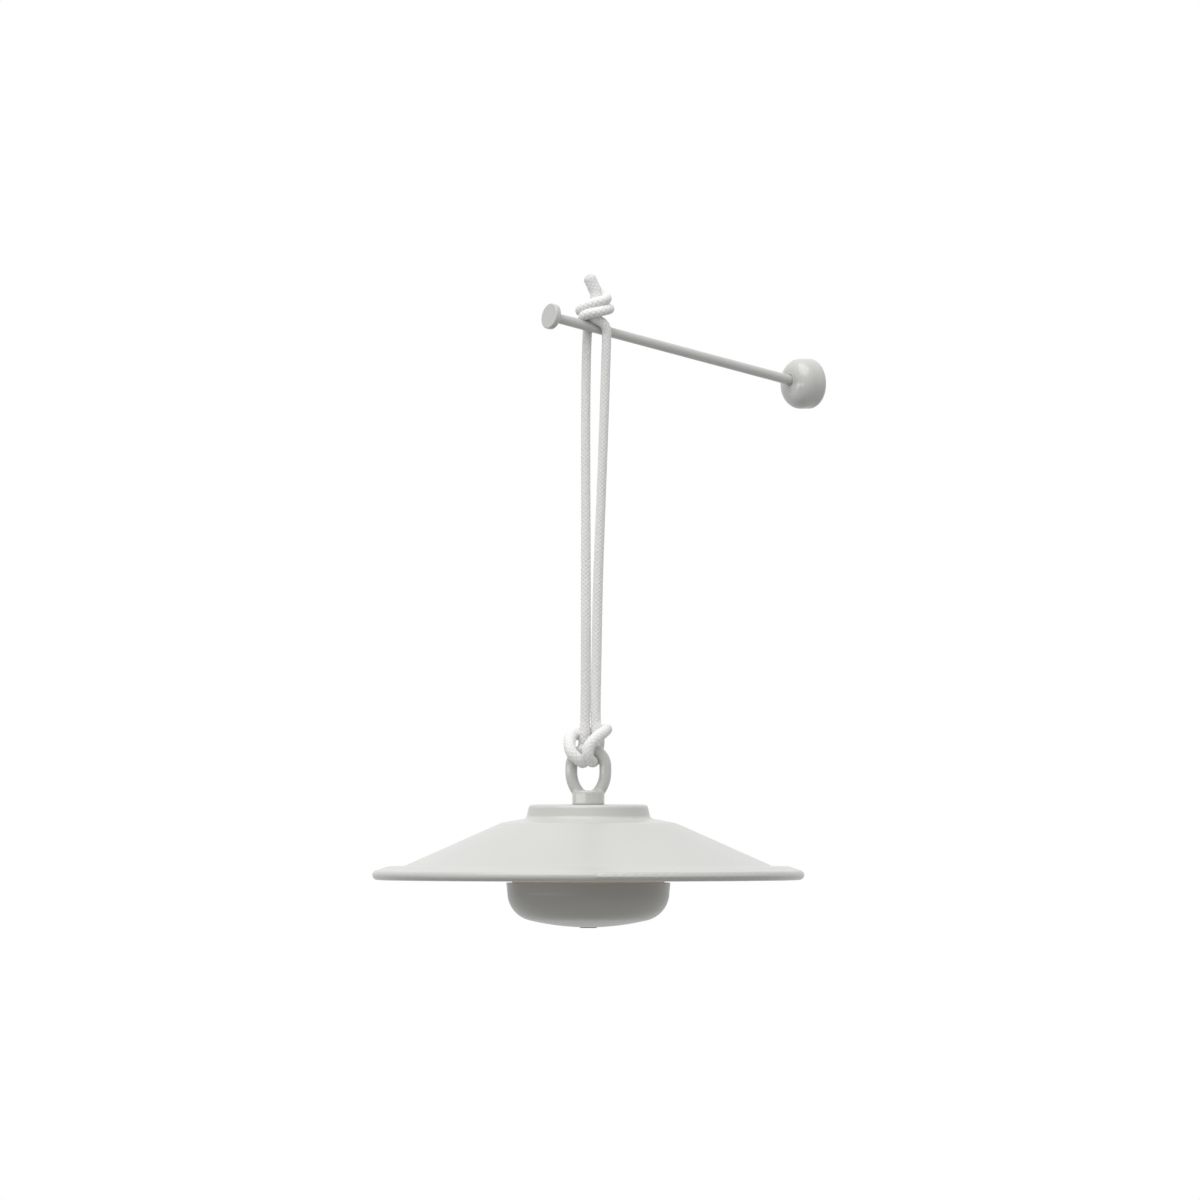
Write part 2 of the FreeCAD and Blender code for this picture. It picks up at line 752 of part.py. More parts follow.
# Deck: turned plate with holes for its screws, the pillar's screws and the light's leads
def make_deck(screw):
    plate = turned(
        "deck_plate",
        [
            ("0", DECK_UNDER),
            (f"{BOWL_MOUTH} - deck_gap", DECK_UNDER),
            (f"{BOWL_MOUTH} - deck_gap", DECK_TOP),
            ("0", DECK_TOP),
        ],
    )
    through = "2 * deck_thickness"
    holes = [
        screw_holes(
            "deck_holes", DECK_SCREWS, DECK_CIRCLE, SCREW_HOLE, DECK_UNDER, through, DECK_SCREW_START
        ),
        screw_holes(
            "deck_taps",
            PILLAR_SCREWS,
            "pillar_screw_circle",
            SCREW_SEAT,
            DECK_UNDER,
            through,
            PILLAR_SCREW_START,
        ),
        cylinder("lead_hole", "lead_hole_diameter", through, (*LED_LEADS, DECK_UNDER)),
    ]
    sub_part(cut("deck", plate, holes), "light_deck", lamp_place)
    seal = washer(
        "deck_ring",
        f"{BOWL_MOUTH} - ledge_width",
        f"{BOWL_MOUTH} - deck_gap",
        BOWL_LEDGE,
        "deck_seal_thickness",
    )
    sub_part(seal, "deck_seal", lamp_place)
    places = ring_of(DECK_SCREWS, DECK_CIRCLE, DECK_TOP, DECK_SCREW_START)
    sub_part(group("deck_screw_set", screw.Shape, places), "deck_screws", lamp_place)


# Light: a ring of small lamps on a round board, under an opal cover
LED_LEADS = ("0", "-main_board_diameter / 2 + lead_inset")


def make_light():
    board = washer("led_ring", "led_board_inner / 2", LIGHT_EDGE, DECK_TOP, "board_thickness")
    lead_holes = [
        cylinder(f"led_lead_{side}", "wire_diameter + 2 * screw_gap", "2 * board_thickness", at)
        for side, at in (("left", lead_spot(-1)), ("right", lead_spot(1)))
    ]
    sub_part(cut("led_board", board, lead_holes), "led_board", lamp_place)
    chip = doc.addObject("Part::Box", "led_chip")
    bind(chip, Length="led_length", Width="led_width", Height="led_height")
    chip.Placement = Placement(Vector(-size("led_length") / 2, -size("led_width") / 2, 0), Rotation())
    doc.recompute()
    places = ring_of(LED_COUNT, f"2 * ({LIGHT_EDGE} - led_inset)", f"{DECK_TOP} + board_thickness", LED_START)
    sub_part(group("led_set", chip.Shape, places), "leds", lamp_place)
    outer = "(bowl_diameter / 2 - diffuser_inset)"
    inner = "(pillar_diameter / 2 + deck_gap)"
    edge = (outer, f"{DECK_TOP} + diffuser_edge")
    cover = turned(
        "cover",
        [
            (f"{outer} - diffuser_wall", DECK_TOP),
            (outer, DECK_TOP),
            edge,
            (inner, f"{DECK_TOP} + diffuser_rise"),
            (inner, f"{DECK_TOP} + diffuser_rise - diffuser_wall"),
            (f"{outer} - diffuser_wall", f"{DECK_TOP} + diffuser_edge - diffuser_wall / 2"),
        ],
        [("diffuser_round", [edge])],
    )
    sub_part(cover, "diffuser", lamp_place)


def lead_spot(side):
    """Where one of the light's two leads rises from the main board."""
    return (f"{side} * wire_pitch / 2", LED_LEADS[1], DECK_TOP)


# Bowl: moulded shell with a rim that takes the deck, screw bosses, board posts and the charging port's block
ACROSS = f"({BOWL_FOOT} - bowl_corner)"
REACH = "(bowl_dome - bowl_corner)"
CORNER_HEIGHT = f"(bowl_dome - sqrt({REACH}^2 - {ACROSS}^2))"


def meeting(inset):
    """Where the dome meets the corner's arc, on a surface set in from the bowl's outside."""
    ray = f"((bowl_dome - {inset}) / {REACH})"
    return f"{ray} * {ACROSS}", f"bowl_dome - {ray} * (bowl_dome - {CORNER_HEIGHT})"


def bowl_side(inset):
    """The corners of the bowl's side from its dome to its rim, set in from the outside."""
    return [
        (*meeting(inset), f"bowl_corner - {inset}", 1),
        (f"{BOWL_FOOT} - {inset}", CORNER_HEIGHT),
        (f"bowl_diameter / 2 - {inset}", "bowl_height"),
    ]


def dome_height(inset, radius):
    return f"bowl_dome - sqrt((bowl_dome - {inset})^2 - {radius}^2)"


def make_bowl_shell():
    ledge_inner = f"({BOWL_MOUTH} - ledge_width)"
    return turned(
        "bowl_shell",
        [
            (BUTTON_HOLE, dome_height("0", BUTTON_HOLE), "bowl_dome", 1),
            *bowl_side("0"),
            (BOWL_MOUTH, "bowl_height"),
            (BOWL_MOUTH, BOWL_LEDGE),
            (ledge_inner, BOWL_LEDGE),
            (ledge_inner, f"{BOWL_LEDGE} - ledge_depth"),
            (f"{BOWL_FOOT} - bowl_wall", CORNER_HEIGHT, "bowl_corner - bowl_wall", -1),
            (*meeting("bowl_wall"), "bowl_dome - bowl_wall", -1),
            (BUTTON_HOLE, dome_height("bowl_wall", BUTTON_HOLE)),
        ],
    )


def bowl_filled(name, inset):
    """A solid that fills the bowl up to a surface set in from its outside."""
    return turned(name, [("0", inset, f"bowl_dome - {inset}", 1), *bowl_side(inset), ("0", "bowl_height")])


def make_bowl():
    bosses = screw_holes(
        "bosses",
        DECK_SCREWS,
        DECK_CIRCLE,
        "boss_diameter",
        "bowl_wall",
        "bowl_height",
        DECK_SCREW_START,
    )
    boss_top = cylinder("under_deck", "bowl_diameter", DECK_UNDER)
    posts = screw_holes("posts", BOARD_SCREWS, "post_circle", "post_diameter", "bowl_wall / 2", "bowl_height")
    post_top = cylinder("under_board", "bowl_diameter", "main_board_height")
    port = block(
        "port_block",
        "port_block_width",
        "bowl_diameter / 2",
        "port_block_height",
        ("0", f"{PORT_FACE} - port_block_depth", "port_block_bottom"),
    )
    shelf = block(
        "port_shelf",
        "port_block_width",
        "bowl_diameter / 2",
        "shelf_thickness",
        ("0", f"{PORT_FACE} - usb_board_reach", "shelf_height - shelf_thickness"),
    )
    inner = joined(
        "inner_all",
        [shared("bosses_cut", bosses, boss_top), shared("posts_cut", posts, post_top), port, shelf],
    )
    inner_cut = shared("inner_cut", inner, bowl_filled("inside_wall", "bowl_wall / 2"))
    whole = joined("bowl_whole", [make_bowl_shell(), inner_cut])
    slot = block(
        "port_slot",
        "socket_width + 2 * port_gap",
        "bowl_diameter / 2",
        "socket_height + 2 * port_gap",
        ("0", f"{PORT_FACE} - 2 * port_block_depth", "shelf_height + usb_board_thickness - port_gap"),
    )
    pocket = block(
        "port_pocket",
        "flap_width + 2 * port_gap",
        "bowl_diameter / 2",
        "flap_height + 2 * port_gap",
        ("0", PORT_FACE, "flap_bottom - port_gap"),
    )
    boss_taps = screw_holes(
        "boss_taps",
        DECK_SCREWS,
        DECK_CIRCLE,
        SCREW_SEAT,
        f"{DECK_UNDER} - screw_length",
        "2 * screw_length",
        DECK_SCREW_START,
    )
    post_taps = screw_holes(
        "post_taps", BOARD_SCREWS, "post_circle", SCREW_SEAT, f"{TRAY_TOP} - screw_length", "screw_length"
    )
    sub_part(cut("bowl", whole, [boss_taps, post_taps, slot, pocket]), "puck_bowl", lamp_place)


# Boards, battery and leads inside the bowl
def make_electronics(screw):
    board = cylinder("round_board", "main_board_diameter", "board_thickness", ("0", "0", "main_board_height"))
    holes = screw_holes(
        "board_holes", BOARD_SCREWS, "post_circle", SCREW_HOLE, "main_board_height", "2 * board_thickness"
    )
    sub_part(cut("board", board, [holes]), "main_board", lamp_place)
    plate = block(
        "tray_floor",
        "pack_length + 2 * pack_gap + 2 * tray_wall",
        "pack_width + 2 * pack_gap + 2 * tray_wall",
        "tray_plate",
        ("0", "-pack_width / 2 - pack_gap - tray_wall", "tray_height"),
    )
    sides = block(
        "tray_sides",
        "pack_length + 2 * pack_gap + 2 * tray_wall",
        "pack_width + 2 * pack_gap + 2 * tray_wall",
        "tray_side",
        ("0", "-pack_width / 2 - pack_gap - tray_wall", TRAY_TOP),
    )
    room = block(
        "tray_room",
        "pack_length + 2 * pack_gap",
        "pack_width + 2 * pack_gap",
        "2 * tray_side",
        ("0", "-pack_width / 2 - pack_gap", TRAY_TOP),
    )
    ears = screw_holes("tray_ears", BOARD_SCREWS, "post_circle", "ear_diameter", "tray_height", "tray_plate")
    tongue = block(
        "tray_tongue",
        "post_circle / 2",
        "ear_diameter",
        "tray_plate",
        ("post_circle / 4", "-ear_diameter / 2", "tray_height"),
    )
    post_span = f"(post_circle * sin(180 / {BOARD_SCREWS}))"
    strap = block(
        "tray_strap",
        "ear_diameter",
        post_span,
        "tray_plate",
        ("-post_circle / 4", f"-{post_span} / 2", "tray_height"),
    )
    feet = screw_holes(
        "tray_feet", BOARD_SCREWS, "post_circle", "post_diameter", BOARD_TOP, f"tray_height - {BOARD_TOP}"
    )
    tray = joined("tray_whole", [plate, cut("tray_frame", sides, [room]), ears, tongue, strap, feet])
    tray_holes = screw_holes("tray_holes", BOARD_SCREWS, "post_circle", SCREW_HOLE, BOARD_TOP, "tray_side")
    head_room = screw_holes(
        "head_room",
        BOARD_SCREWS,
        "post_circle",
        "screw_head_diameter + 2 * screw_gap",
        TRAY_TOP,
        "2 * tray_side",
    )
    sub_part(cut("tray", tray, [tray_holes, head_room]), "battery_tray", lamp_place)
    places = ring_of(BOARD_SCREWS, "post_circle", TRAY_TOP)
    sub_part(group("board_screw_set", screw.Shape, places), "board_screws", lamp_place)
    pack = doc.addObject("PartDesign::Body", "pack")
    face = outline(
        pack,
        "pack_outline",
        "XY_Plane",
        [
            ("-pack_length / 2", "-pack_width / 2"),
            ("pack_length / 2", "-pack_width / 2"),
            ("pack_length / 2", "pack_width / 2"),
            ("-pack_length / 2", "pack_width / 2"),
        ],
    )
    cell = pack.newObject("PartDesign::Pad", "pack_pad")
    cell.Profile = face
    bind(cell, Length="pack_thickness")
    doc.recompute()
    softened = pack.newObject("PartDesign::Fillet", "pack_rounds")
    softened.Base = (cell, [f"Edge{i}" for i in range(1, len(cell.Shape.Edges) + 1)])
    bind(softened, Radius="pack_round")
    sub_part(pack, "battery_pack", lamp_place * Placement(Vector(0, 0, size(TRAY_TOP)), Rotation()))
    pad_bottom = f"{TRAY_TOP} + pack_thickness"
    pad_height = f"{DECK_UNDER} - ({pad_bottom})"
    pad = block("foam", "pad_length", "pad_width", pad_height, ("0", "-pad_width / 2", pad_bottom))
    sub_part(pad, "battery_pad", lamp_place * pad.Placement)


def make_button():
    seat = dome_height("bowl_wall", "(button_flange_diameter / 2)")
    flange_bottom = f"({seat} + fit_gap)"
    top = f"({flange_bottom} + button_flange_thickness)"
    face = ("button_diameter / 2", "-button_proud")
    cap = turned(
        "button_cap",
        [
            ("0", "-button_proud"),
            face,
            ("button_diameter / 2", flange_bottom),
            ("button_flange_diameter / 2", flange_bottom),
            ("button_flange_diameter / 2", top),
            ("0", top),
        ],
        [("button_round", [face])],
    )
    sub_part(cap, "power_button", lamp_place)
    plunger = cylinder("plunger", "plunger_diameter", "plunger_length", ("0", "0", top))
    sub_part(plunger, "switch_plunger", lamp_place * plunger.Placement)
    bottom = "(main_board_height - switch_height)"
    body = block(
        "switch_block", "switch_side", "switch_side", "switch_height", ("0", "-switch_side / 2", bottom)
    )
    bore = cylinder(
        "switch_bore",
        "plunger_diameter + 4 * fit_gap",
        f"{top} + plunger_length + button_travel + 2 * fit_gap - {bottom}",
        ("0", "0", bottom),
    )
    sub_part(cut("switch", body, [bore]), "switch_body", lamp_place)


# Charging port: a small board on a shelf, its socket behind a slot, and a rubber flap in a flat pocket
def make_port():
    board = block(
        "port_board",
        "usb_board_width",
        "usb_board_depth",
        "usb_board_thickness",
        ("0", f"{PORT_FACE} - usb_board_reach", "shelf_height"),
    )
    sub_part(board, "usb_board", lamp_place * board.Placement)
    socket_bottom = "shelf_height + usb_board_thickness"
    socket_back = f"{PORT_FACE} - flap_nib - port_gap - socket_depth"
    shell = block(
        "socket_shell", "socket_width", "socket_depth", "socket_height", ("0", socket_back, socket_bottom)
    )
    mouth = block(
        "socket_mouth",
        "socket_width - 2 * socket_wall",
        "socket_depth",
        "socket_height - 2 * socket_wall",
        ("0", f"{socket_back} + socket_floor", f"{socket_bottom} + socket_wall"),
    )
    sub_part(cut("socket", shell, [mouth]), "usb_socket", lamp_place)
    leaf = block(
        "flap_leaf",
        "flap_width",
        "bowl_diameter / 2",
        "flap_height",
        ("0", f"{PORT_FACE} + flap_gap", "flap_bottom"),
    )
    nib = block(
        "flap_nib_block",
        "socket_width - 2 * port_gap",
        "flap_nib + flap_gap",
        "socket_height - 4 * port_gap",
        ("0", f"{PORT_FACE} - flap_nib", f"{socket_bottom} + port_gap"),
    )
    leaf_cut = shared("flap_leaf_cut", leaf, bowl_filled("bowl_outside", "0"))
    sub_part(joined("flap_whole", [leaf_cut, nib]), "port_flap", lamp_place)


def wires(label, points):
    """A pair of insulated wires side by side along one route, in the lamp's frame."""
    pitch, thick = size("wire_pitch"), size("wire_diameter")
    across = Vector(1, 0, 0) if abs(points[0][0] - points[-1][0]) < pitch else Vector(0, 1, 0)
    tubes = []
    for side in (-0.5, 0.5):
        route = [Vector(*p) + across * (side * pitch) for p in points]
        tubes.append(rope_tube(f"{label} {side}", route, thick))
    pair = doc.addObject("Part::Feature", label)
    pair.Shape = Part.makeCompound(tubes)
    sub_part(pair, label, lamp_place)


def make_wires():
    board, lead_y = size(BOARD_TOP), size(LED_LEADS[1])
    wires("led_leads", [(0, lead_y, board), (0, lead_y, size(f"{DECK_TOP} + board_thickness"))])
    end, level = size("pack_length / 2"), size(f"{TRAY_TOP} + pack_thickness - pack_round - wire_diameter")
    outer = size("main_board_diameter / 2 - wire_pitch")
    beside = size("post_diameter + wire_pitch")
    wires("battery_leads", [(end, beside, level), (outer, beside, level), (outer, beside, board)])
    edge = size(f"{PORT_FACE} - usb_board_reach")
    middle, aside = size("shelf_height + usb_board_thickness / 2"), size("-usb_board_width / 4")
    inward = size("main_board_diameter / 2 - wire_diameter")
    wires("usb_leads", [(aside, edge, middle), (aside, inward, middle), (aside, inward, board)])


def check_and_write():
    """Stop on any failed feature or bad solid, then write each sub-part to a file named by its label."""
    failed = [o.Name for o in doc.Objects if {"Invalid", "Error"} & set(o.State)]
    if failed:
        raise RuntimeError(f"features that failed: {failed}")
    for thing in subparts:
        shape = thing.Shape
        if shape.isNull() or not shape.isValid() or not shape.Solids:
            raise RuntimeError(f"{thing.Label} is not a sound solid")
    os.makedirs("parts", exist_ok=True)
    for thing in subparts:
        thing.Shape.exportStep(f"parts/{thing.Label}.step")
        print(f"{thing.Label}: {len(thing.Shape.Solids)} solids, {thing.Shape.Volume:.0f} mm3")


make_wall_base()
make_arm()
make_rope()
make_eye()
make_crown_rings()
make_shade()
screw = make_screw("pan_screw")
make_pillar(screw)
make_deck(screw)
make_light()
make_bowl()
make_electronics(screw)
make_button()
make_port()
make_wires()
doc.recompute()
check_and_write()
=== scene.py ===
import math

import bpy
import numpy as np
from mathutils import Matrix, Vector


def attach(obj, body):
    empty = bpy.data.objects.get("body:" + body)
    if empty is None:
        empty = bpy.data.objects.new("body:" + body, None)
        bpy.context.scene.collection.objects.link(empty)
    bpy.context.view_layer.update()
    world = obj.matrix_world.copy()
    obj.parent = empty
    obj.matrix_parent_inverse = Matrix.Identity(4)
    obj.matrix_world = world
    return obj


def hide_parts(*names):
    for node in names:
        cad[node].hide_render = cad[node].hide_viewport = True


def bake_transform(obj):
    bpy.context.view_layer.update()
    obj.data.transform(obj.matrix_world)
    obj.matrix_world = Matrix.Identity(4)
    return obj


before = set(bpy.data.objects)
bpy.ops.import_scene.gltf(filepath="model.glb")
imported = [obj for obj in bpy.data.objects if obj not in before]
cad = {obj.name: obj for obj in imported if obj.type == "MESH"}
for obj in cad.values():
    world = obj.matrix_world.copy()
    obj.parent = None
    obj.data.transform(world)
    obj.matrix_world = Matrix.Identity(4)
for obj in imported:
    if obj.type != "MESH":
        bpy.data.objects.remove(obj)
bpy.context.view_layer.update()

# Camera: a very long lens far off, a hair above level, so that depth is flattened.
# It stands 54.6 degrees round from the wall's normal, square to the eye's opening.
LAMP_TURN = math.radians(54.6)
LAMP_AXIS = np.array([0.0, -0.1933, 0.0])
RIGHT = np.array([math.cos(LAMP_TURN), math.sin(LAMP_TURN), 0.0])
AWAY = np.array([-math.sin(LAMP_TURN), math.cos(LAMP_TURN), 0.0])
UP = np.array([0.0, 0.0, 1.0])
TURNED = np.array([RIGHT, AWAY, UP])
CAMERA_RISE = math.radians(0.2)
CAMERA_DISTANCE = 40.0
PICTURE_WIDTH = 0.8333
PICTURE_CENTRE = (8.1, 0.0, -150.2)


def hung(points):
    """Points as (right, away, up) from the lamp's axis in millimetres, turned into the part's frame in metres."""
    return LAMP_AXIS + (np.asarray(points, float) / 1000) @ TURNED


def aim(thing, direction):
    """Turn a camera or a light so that it faces along a direction."""
    thing.rotation_euler = Vector(direction).to_track_quat("-Z", "Y").to_euler()


camera_data = bpy.data.cameras.new("camera")
camera_data.sensor_width = 36.0
camera_data.lens = camera_data.sensor_width * CAMERA_DISTANCE / PICTURE_WIDTH
camera_data.clip_end = 5 * CAMERA_DISTANCE
camera = bpy.data.objects.new("camera", camera_data)
bpy.context.scene.collection.objects.link(camera)
toward_camera = -AWAY * math.cos(CAMERA_RISE) + UP * math.sin(CAMERA_RISE)
camera.location = hung(PICTURE_CENTRE) + toward_camera * CAMERA_DISTANCE
aim(camera, -toward_camera)
bpy.context.scene.camera = camera

# Wall base, rod and end disc: turned steel, sprayed with one light warm grey satin coat.
# The rod sits in a slanting bore of the base, locked by a plated grub screw, and the disc is pressed on its tip.
COAT_COLOUR = (0.525, 0.522, 0.506)
STEEL_COLOUR = (0.56, 0.56, 0.55)
DRIFT_SCALE = 16.0
PORES_PER_GRAIN = 0.5
WAVES_PER_GRAIN = 0.16
WAVE_HEIGHT = 2.0
GLOSS_SWING = 0.3


def add(tree, kind, sockets=None, **settings):
    """A shader node with its settings; each socket gets a plain value or another node's output."""
    made = tree.nodes.new("ShaderNode" + kind)
    for name, value in settings.items():
        setattr(made, name, value)
    for name, value in (sockets or {}).items():
        if isinstance(value, bpy.types.NodeSocket):
            tree.links.new(value, made.inputs[name])
        else:
            made.inputs[name].default_value = value
    return made


def sums(tree, operation, *values):
    """The result of a Math node on plain values or other nodes' outputs."""
    return add(tree, "Math", dict(enumerate(values)), operation=operation).outputs[0]


def ramp(tree, value, stops):
    """A value turned into colour along a ramp of (position, colour) stops."""
    made = add(tree, "ValToRGB", {"Fac": value})
    while len(made.color_ramp.elements) < len(stops):
        made.color_ramp.elements.new(0.5)
    for element, (position, colour) in zip(made.color_ramp.elements, stops):
        element.position = position
        element.color = (*colour, 1.0)
    return made.outputs["Color"]


def shade_of(colour, share):
    """A colour made lighter or darker by a share."""
    return tuple(c * share for c in colour)


def material(name, plain):
    """A node material, with the plain values of its shader's sockets, as (material, tree, shader)."""
    made = bpy.data.materials.new(name)
    made.use_nodes = True
    shader = made.node_tree.nodes["Principled BSDF"]
    for socket, value in plain.items():
        shader.inputs[socket].default_value = value
    return made, made.node_tree, shader


def relief(tree, shader, height, distance, strength=1.0):
    """A height, from 0 to 1, as a bump that stands out by a distance."""
    bump = add(tree, "Bump", {"Height": height, "Strength": strength, "Distance": distance})
    tree.links.new(bump.outputs["Normal"], shader.inputs["Normal"])


def noise(tree, scale, detail):
    """Noise through the piece from 0 to 1, at a scale per metre; each step of detail adds finer noise to it."""
    place = add(tree, "TexCoord").outputs["Object"]
    return add(tree, "TexNoise", {"Vector": place, "Scale": scale, "Detail": detail}).outputs["Fac"]


def grained(name, colour, roughness, grain, depth, contrast=0.04, **plain):
    """A finish with a grain: its colour drifts over the piece and from pore to pore, and the pores change its gloss.

    The grain is the size of a pore and the depth its relief, which also rolls in waves about three pores long.
    """
    made, tree, shader = material(name, {socket.replace("_", " "): value for socket, value in plain.items()})
    drift = noise(tree, DRIFT_SCALE, 3.0)
    pores = noise(tree, PORES_PER_GRAIN / grain, 2.0)
    waves = noise(tree, WAVES_PER_GRAIN / grain, 1.0)
    mixed = sums(tree, "MULTIPLY", sums(tree, "ADD", drift, pores), 0.5)
    tones = [(0.30, shade_of(colour, 1 - contrast)), (0.50, colour), (0.70, shade_of(colour, 1 + contrast))]
    tree.links.new(ramp(tree, mixed, tones), shader.inputs["Base Color"])
    dull = sums(tree, "MULTIPLY_ADD", sums(tree, "SUBTRACT", pores, 0.5), GLOSS_SWING, roughness)
    tree.links.new(dull, shader.inputs["Roughness"])
    relief(tree, shader, sums(tree, "MULTIPLY_ADD", waves, WAVE_HEIGHT, pores), depth)
    return made


def dress(finish, *nodes):
    """Packed nodes take a finish in all their material slots."""
    for node in nodes:
        mesh = cad[node].data
        for slot in range(len(mesh.materials)):
            mesh.materials[slot] = finish


arm_coat = grained(
    "arm_coat", COAT_COLOUR, roughness=0.30, grain=0.0004, depth=0.00001, Coat_Weight=0.5, Coat_Roughness=0.06
)
plated_steel = grained(
    "plated_steel", STEEL_COLOUR, roughness=0.34, grain=0.00025, depth=0.000008, contrast=0.12, Metallic=1.0
)
dress(arm_coat, "wall_base", "arm_rod", "end_stop")
dress(plated_steel, "grub_screw")

# Rope: one length of braided polyester cord, doubled through the lamp's eye and laid over the rod.
# Its two heat-sealed ends are tied in a stopper knot above the rod, and it carries the lamp by that alone.
ROPE_RADIUS = 0.0033
ROPE_STEP = 0.00058
ROPE_SIDES = 60
SEALED_END = 0.0034
SEALED_TIP = 0.02
MELT_REACH = 1.5
TAIL_LENGTH = 0.018
TAIL_SWELL = 1.34
TAIL_FLATNESS = 0.5
# Heights in metres, and how many times as thick the cord is there, because it is fatter where it is slack
SWELL = [(-0.243, 1.27), (-0.235, 1.07), (-0.14, 1.06), (-0.07, 1.0), (0.038, 1.0), (0.046, 1.10)]
BRAID_PAIRS = 6
BRAID_STITCH = 0.0029
BRAID_DEPTH = 0.00028
BRAID_DIP = 0.5
YARNS_PER_STITCH = 3
YARN_RELIEF = 0.08
FUZZ_SCALE = 2600.0
FUZZ_RELIEF = 0.5
FUZZ_TONE = 0.3
STITCH_SHADE_SHARE = 0.8
MELT_FADE = 0.8
MELTED_COLOUR = (0.58, 0.577, 0.565, 1.0)
# Braid colours by the stitch's height: painted shade in the grooves and painted highlight on the crests
GROOVE_SHADE_COLOUR = (0.63, 0.627, 0.618)
STITCH_COLOUR = (0.84, 0.836, 0.827)
CREST_HIGHLIGHT_COLOUR = (0.895, 0.891, 0.882)
# In the hitch, below this height, the cord's colour is greyed a little towards the groove shade colour
GREYING_HEIGHT = -0.235
GREYING_SHARE = 0.25
GREYING_FADE = 0.12
SIDE_GUIDE = (0.62, 0.55, 0.56)
ROD_RADIUS = 0.0035
ROD_FOOT = (0.0, -0.00975, 0.0)
ROD_TILT = math.radians(12.24)
EYE_BAR_RADIUS = 4.2
EYE_TOP_RADIUS = 11.8
EYE_TOP_CENTRE = -265.7
EYE_BAR_HEIGHT = EYE_TOP_CENTRE + EYE_TOP_RADIUS
# The cord stays this clear of the eye's bar at these angles of the lamp as it rocks
EYE_ROOM = 0.08
ROCK_ANGLES = np.radians([-15.0, 15.0, -10.0, 10.0, -5.0, 5.0, 0.0])
# The route from end to end, as (right, away, up) in millimetres; the hitch's heights are from the eye's top bar
BACK_KNOT = [
    (2.4, 10.2, 70.2),
    (3.8, 11.4, 65.2),
    (9.2, 11.8, 60.6),
    (13.4, 3.6, 59.0),
    (9.8, -4.4, 57.6),
    (2.2, -5.0, 55.4),
    (-4.6, -0.8, 52.6),
    (-6.2, 5.4, 50.0),
    (-0.6, 12.4, 50.8),
    (10.6, 12.2, 52.0),
    (15.8, 3.4, 52.2),
    (10.8, -6.2, 50.8),
    (0.6, -7.2, 48.8),
    (-4.4, -1.0, 46.8),
    (-1.6, 8.0, 44.6),
    (0.6, 9.6, 41.0),
]
BACK_FALL = [
    (-1.1, 7.3, 36.0),
    (-2.0, 7.5, -20.0),
    (-1.7, 7.9, -110.0),
]
HITCH = [
    (-1.8, 8.5, 17.0),
    (-3.6, 10.4, -4.4),
    (-3.1, -0.2, -9.5),
    (-5.7, -9.6, -8.0),
    (-12.4, -9.6, -2.2),
    (-13.4, -3.2, 5.4),
    (-12.0, 6.6, 9.4),
    (-7.4, 15.0, 10.8),
    (2.0, 18.8, 11.6),
    (10.4, 16.4, 13.0),
    (13.0, 8.4, 14.2),
    (12.2, -1.0, 13.2),
    (6.4, -7.4, 8.8),
    (0.2, -11.4, 3.0),
    (-0.9, -10.8, -5.6),
    (3.5, 0.0, -9.5),
    (4.3, 10.4, -4.8),
    (8.0, 9.8, 4.0),
    (4.7, 8.6, 17.0),
]
FRONT_FALL = [
    (5.7, 7.2, -192.0),
    (6.6, 5.2, -136.0),
    (8.8, 3.2, -81.0),
    (10.9, 1.4, -25.0),
    (12.6, 0.7, 30.0),
    (12.9, 0.3, 37.4),
]
FRONT_KNOT = [
    (11.0, -0.6, 41.6),
    (6.6, -0.8, 44.4),
    (1.6, 1.0, 46.4),
    (4.4, 3.4, 54.8),
    (5.8, 3.4, 63.4),
    (2.5, 2.8, 69.6),
    (-0.3, 2.2, 75.6),
]


def smooth_line(points, step):
    """Evenly spaced points of the quadratic NURBS spline on given control points, and how far along it they are."""
    curve = bpy.data.curves.new("route", "CURVE")
    curve.dimensions = "3D"
    curve.resolution_u = 40
    spline = curve.splines.new("NURBS")
    spline.points.add(len(points) - 1)
    spline.points.foreach_set("co", np.column_stack([points, np.ones(len(points))]).ravel())
    spline.order_u = 3
    spline.use_endpoint_u = True
    holder = bpy.data.objects.new("route", curve)
    line = bpy.data.meshes.new_from_object(holder)
    read = np.empty(len(line.vertices) * 3)
    line.vertices.foreach_get("co", read)
    read = read.reshape(-1, 3)
    bpy.data.objects.remove(holder)
    bpy.data.curves.remove(curve)
    bpy.data.meshes.remove(line)
    run = np.concatenate([[0.0], np.cumsum(np.linalg.norm(np.diff(read, axis=0), axis=1))])
    at = np.linspace(0.0, run[-1], int(run[-1] / step) + 1)
    return np.column_stack([np.interp(at, run, read[:, i]) for i in range(3)]), at


def untwisted_frame(line, guide):
    """Two unit vectors square to a line that don't turn round it.

    They start from a guide direction laid square to the line, and the turn that this leaves between one point
    and the next is added up and taken out again.
    """
    along = np.gradient(line, axis=0)
    along /= np.linalg.norm(along, axis=1, keepdims=True)
    side = guide - (along @ guide)[:, None] * along
    side /= np.linalg.norm(side, axis=1, keepdims=True)
    other = np.cross(along, side)
    cross = np.cross(along[:-1], along[1:])
    level = np.sum(along[:-1] * along[1:], axis=1, keepdims=True)
    carried = side[:-1] * level + np.cross(cross, side[:-1])
    carried += cross * np.sum(cross * side[:-1], axis=1, keepdims=True) / (1.0 + level)
    slip = np.arctan2(np.sum(carried * other[1:], axis=1), np.sum(carried * side[1:], axis=1))
    turn = np.concatenate([[0.0], np.cumsum(slip)])[:, None]
    return side * np.cos(turn) + other * np.sin(turn), other * np.cos(turn) - side * np.sin(turn)


def pressed_off(points, core, reach):
    """Points nearer to a core than its reach, moved straight out to that reach, as a soft cord is pressed flat."""
    out = points - core
    return core + out * np.maximum(reach / np.linalg.norm(out, axis=-1, keepdims=True), 1.0)


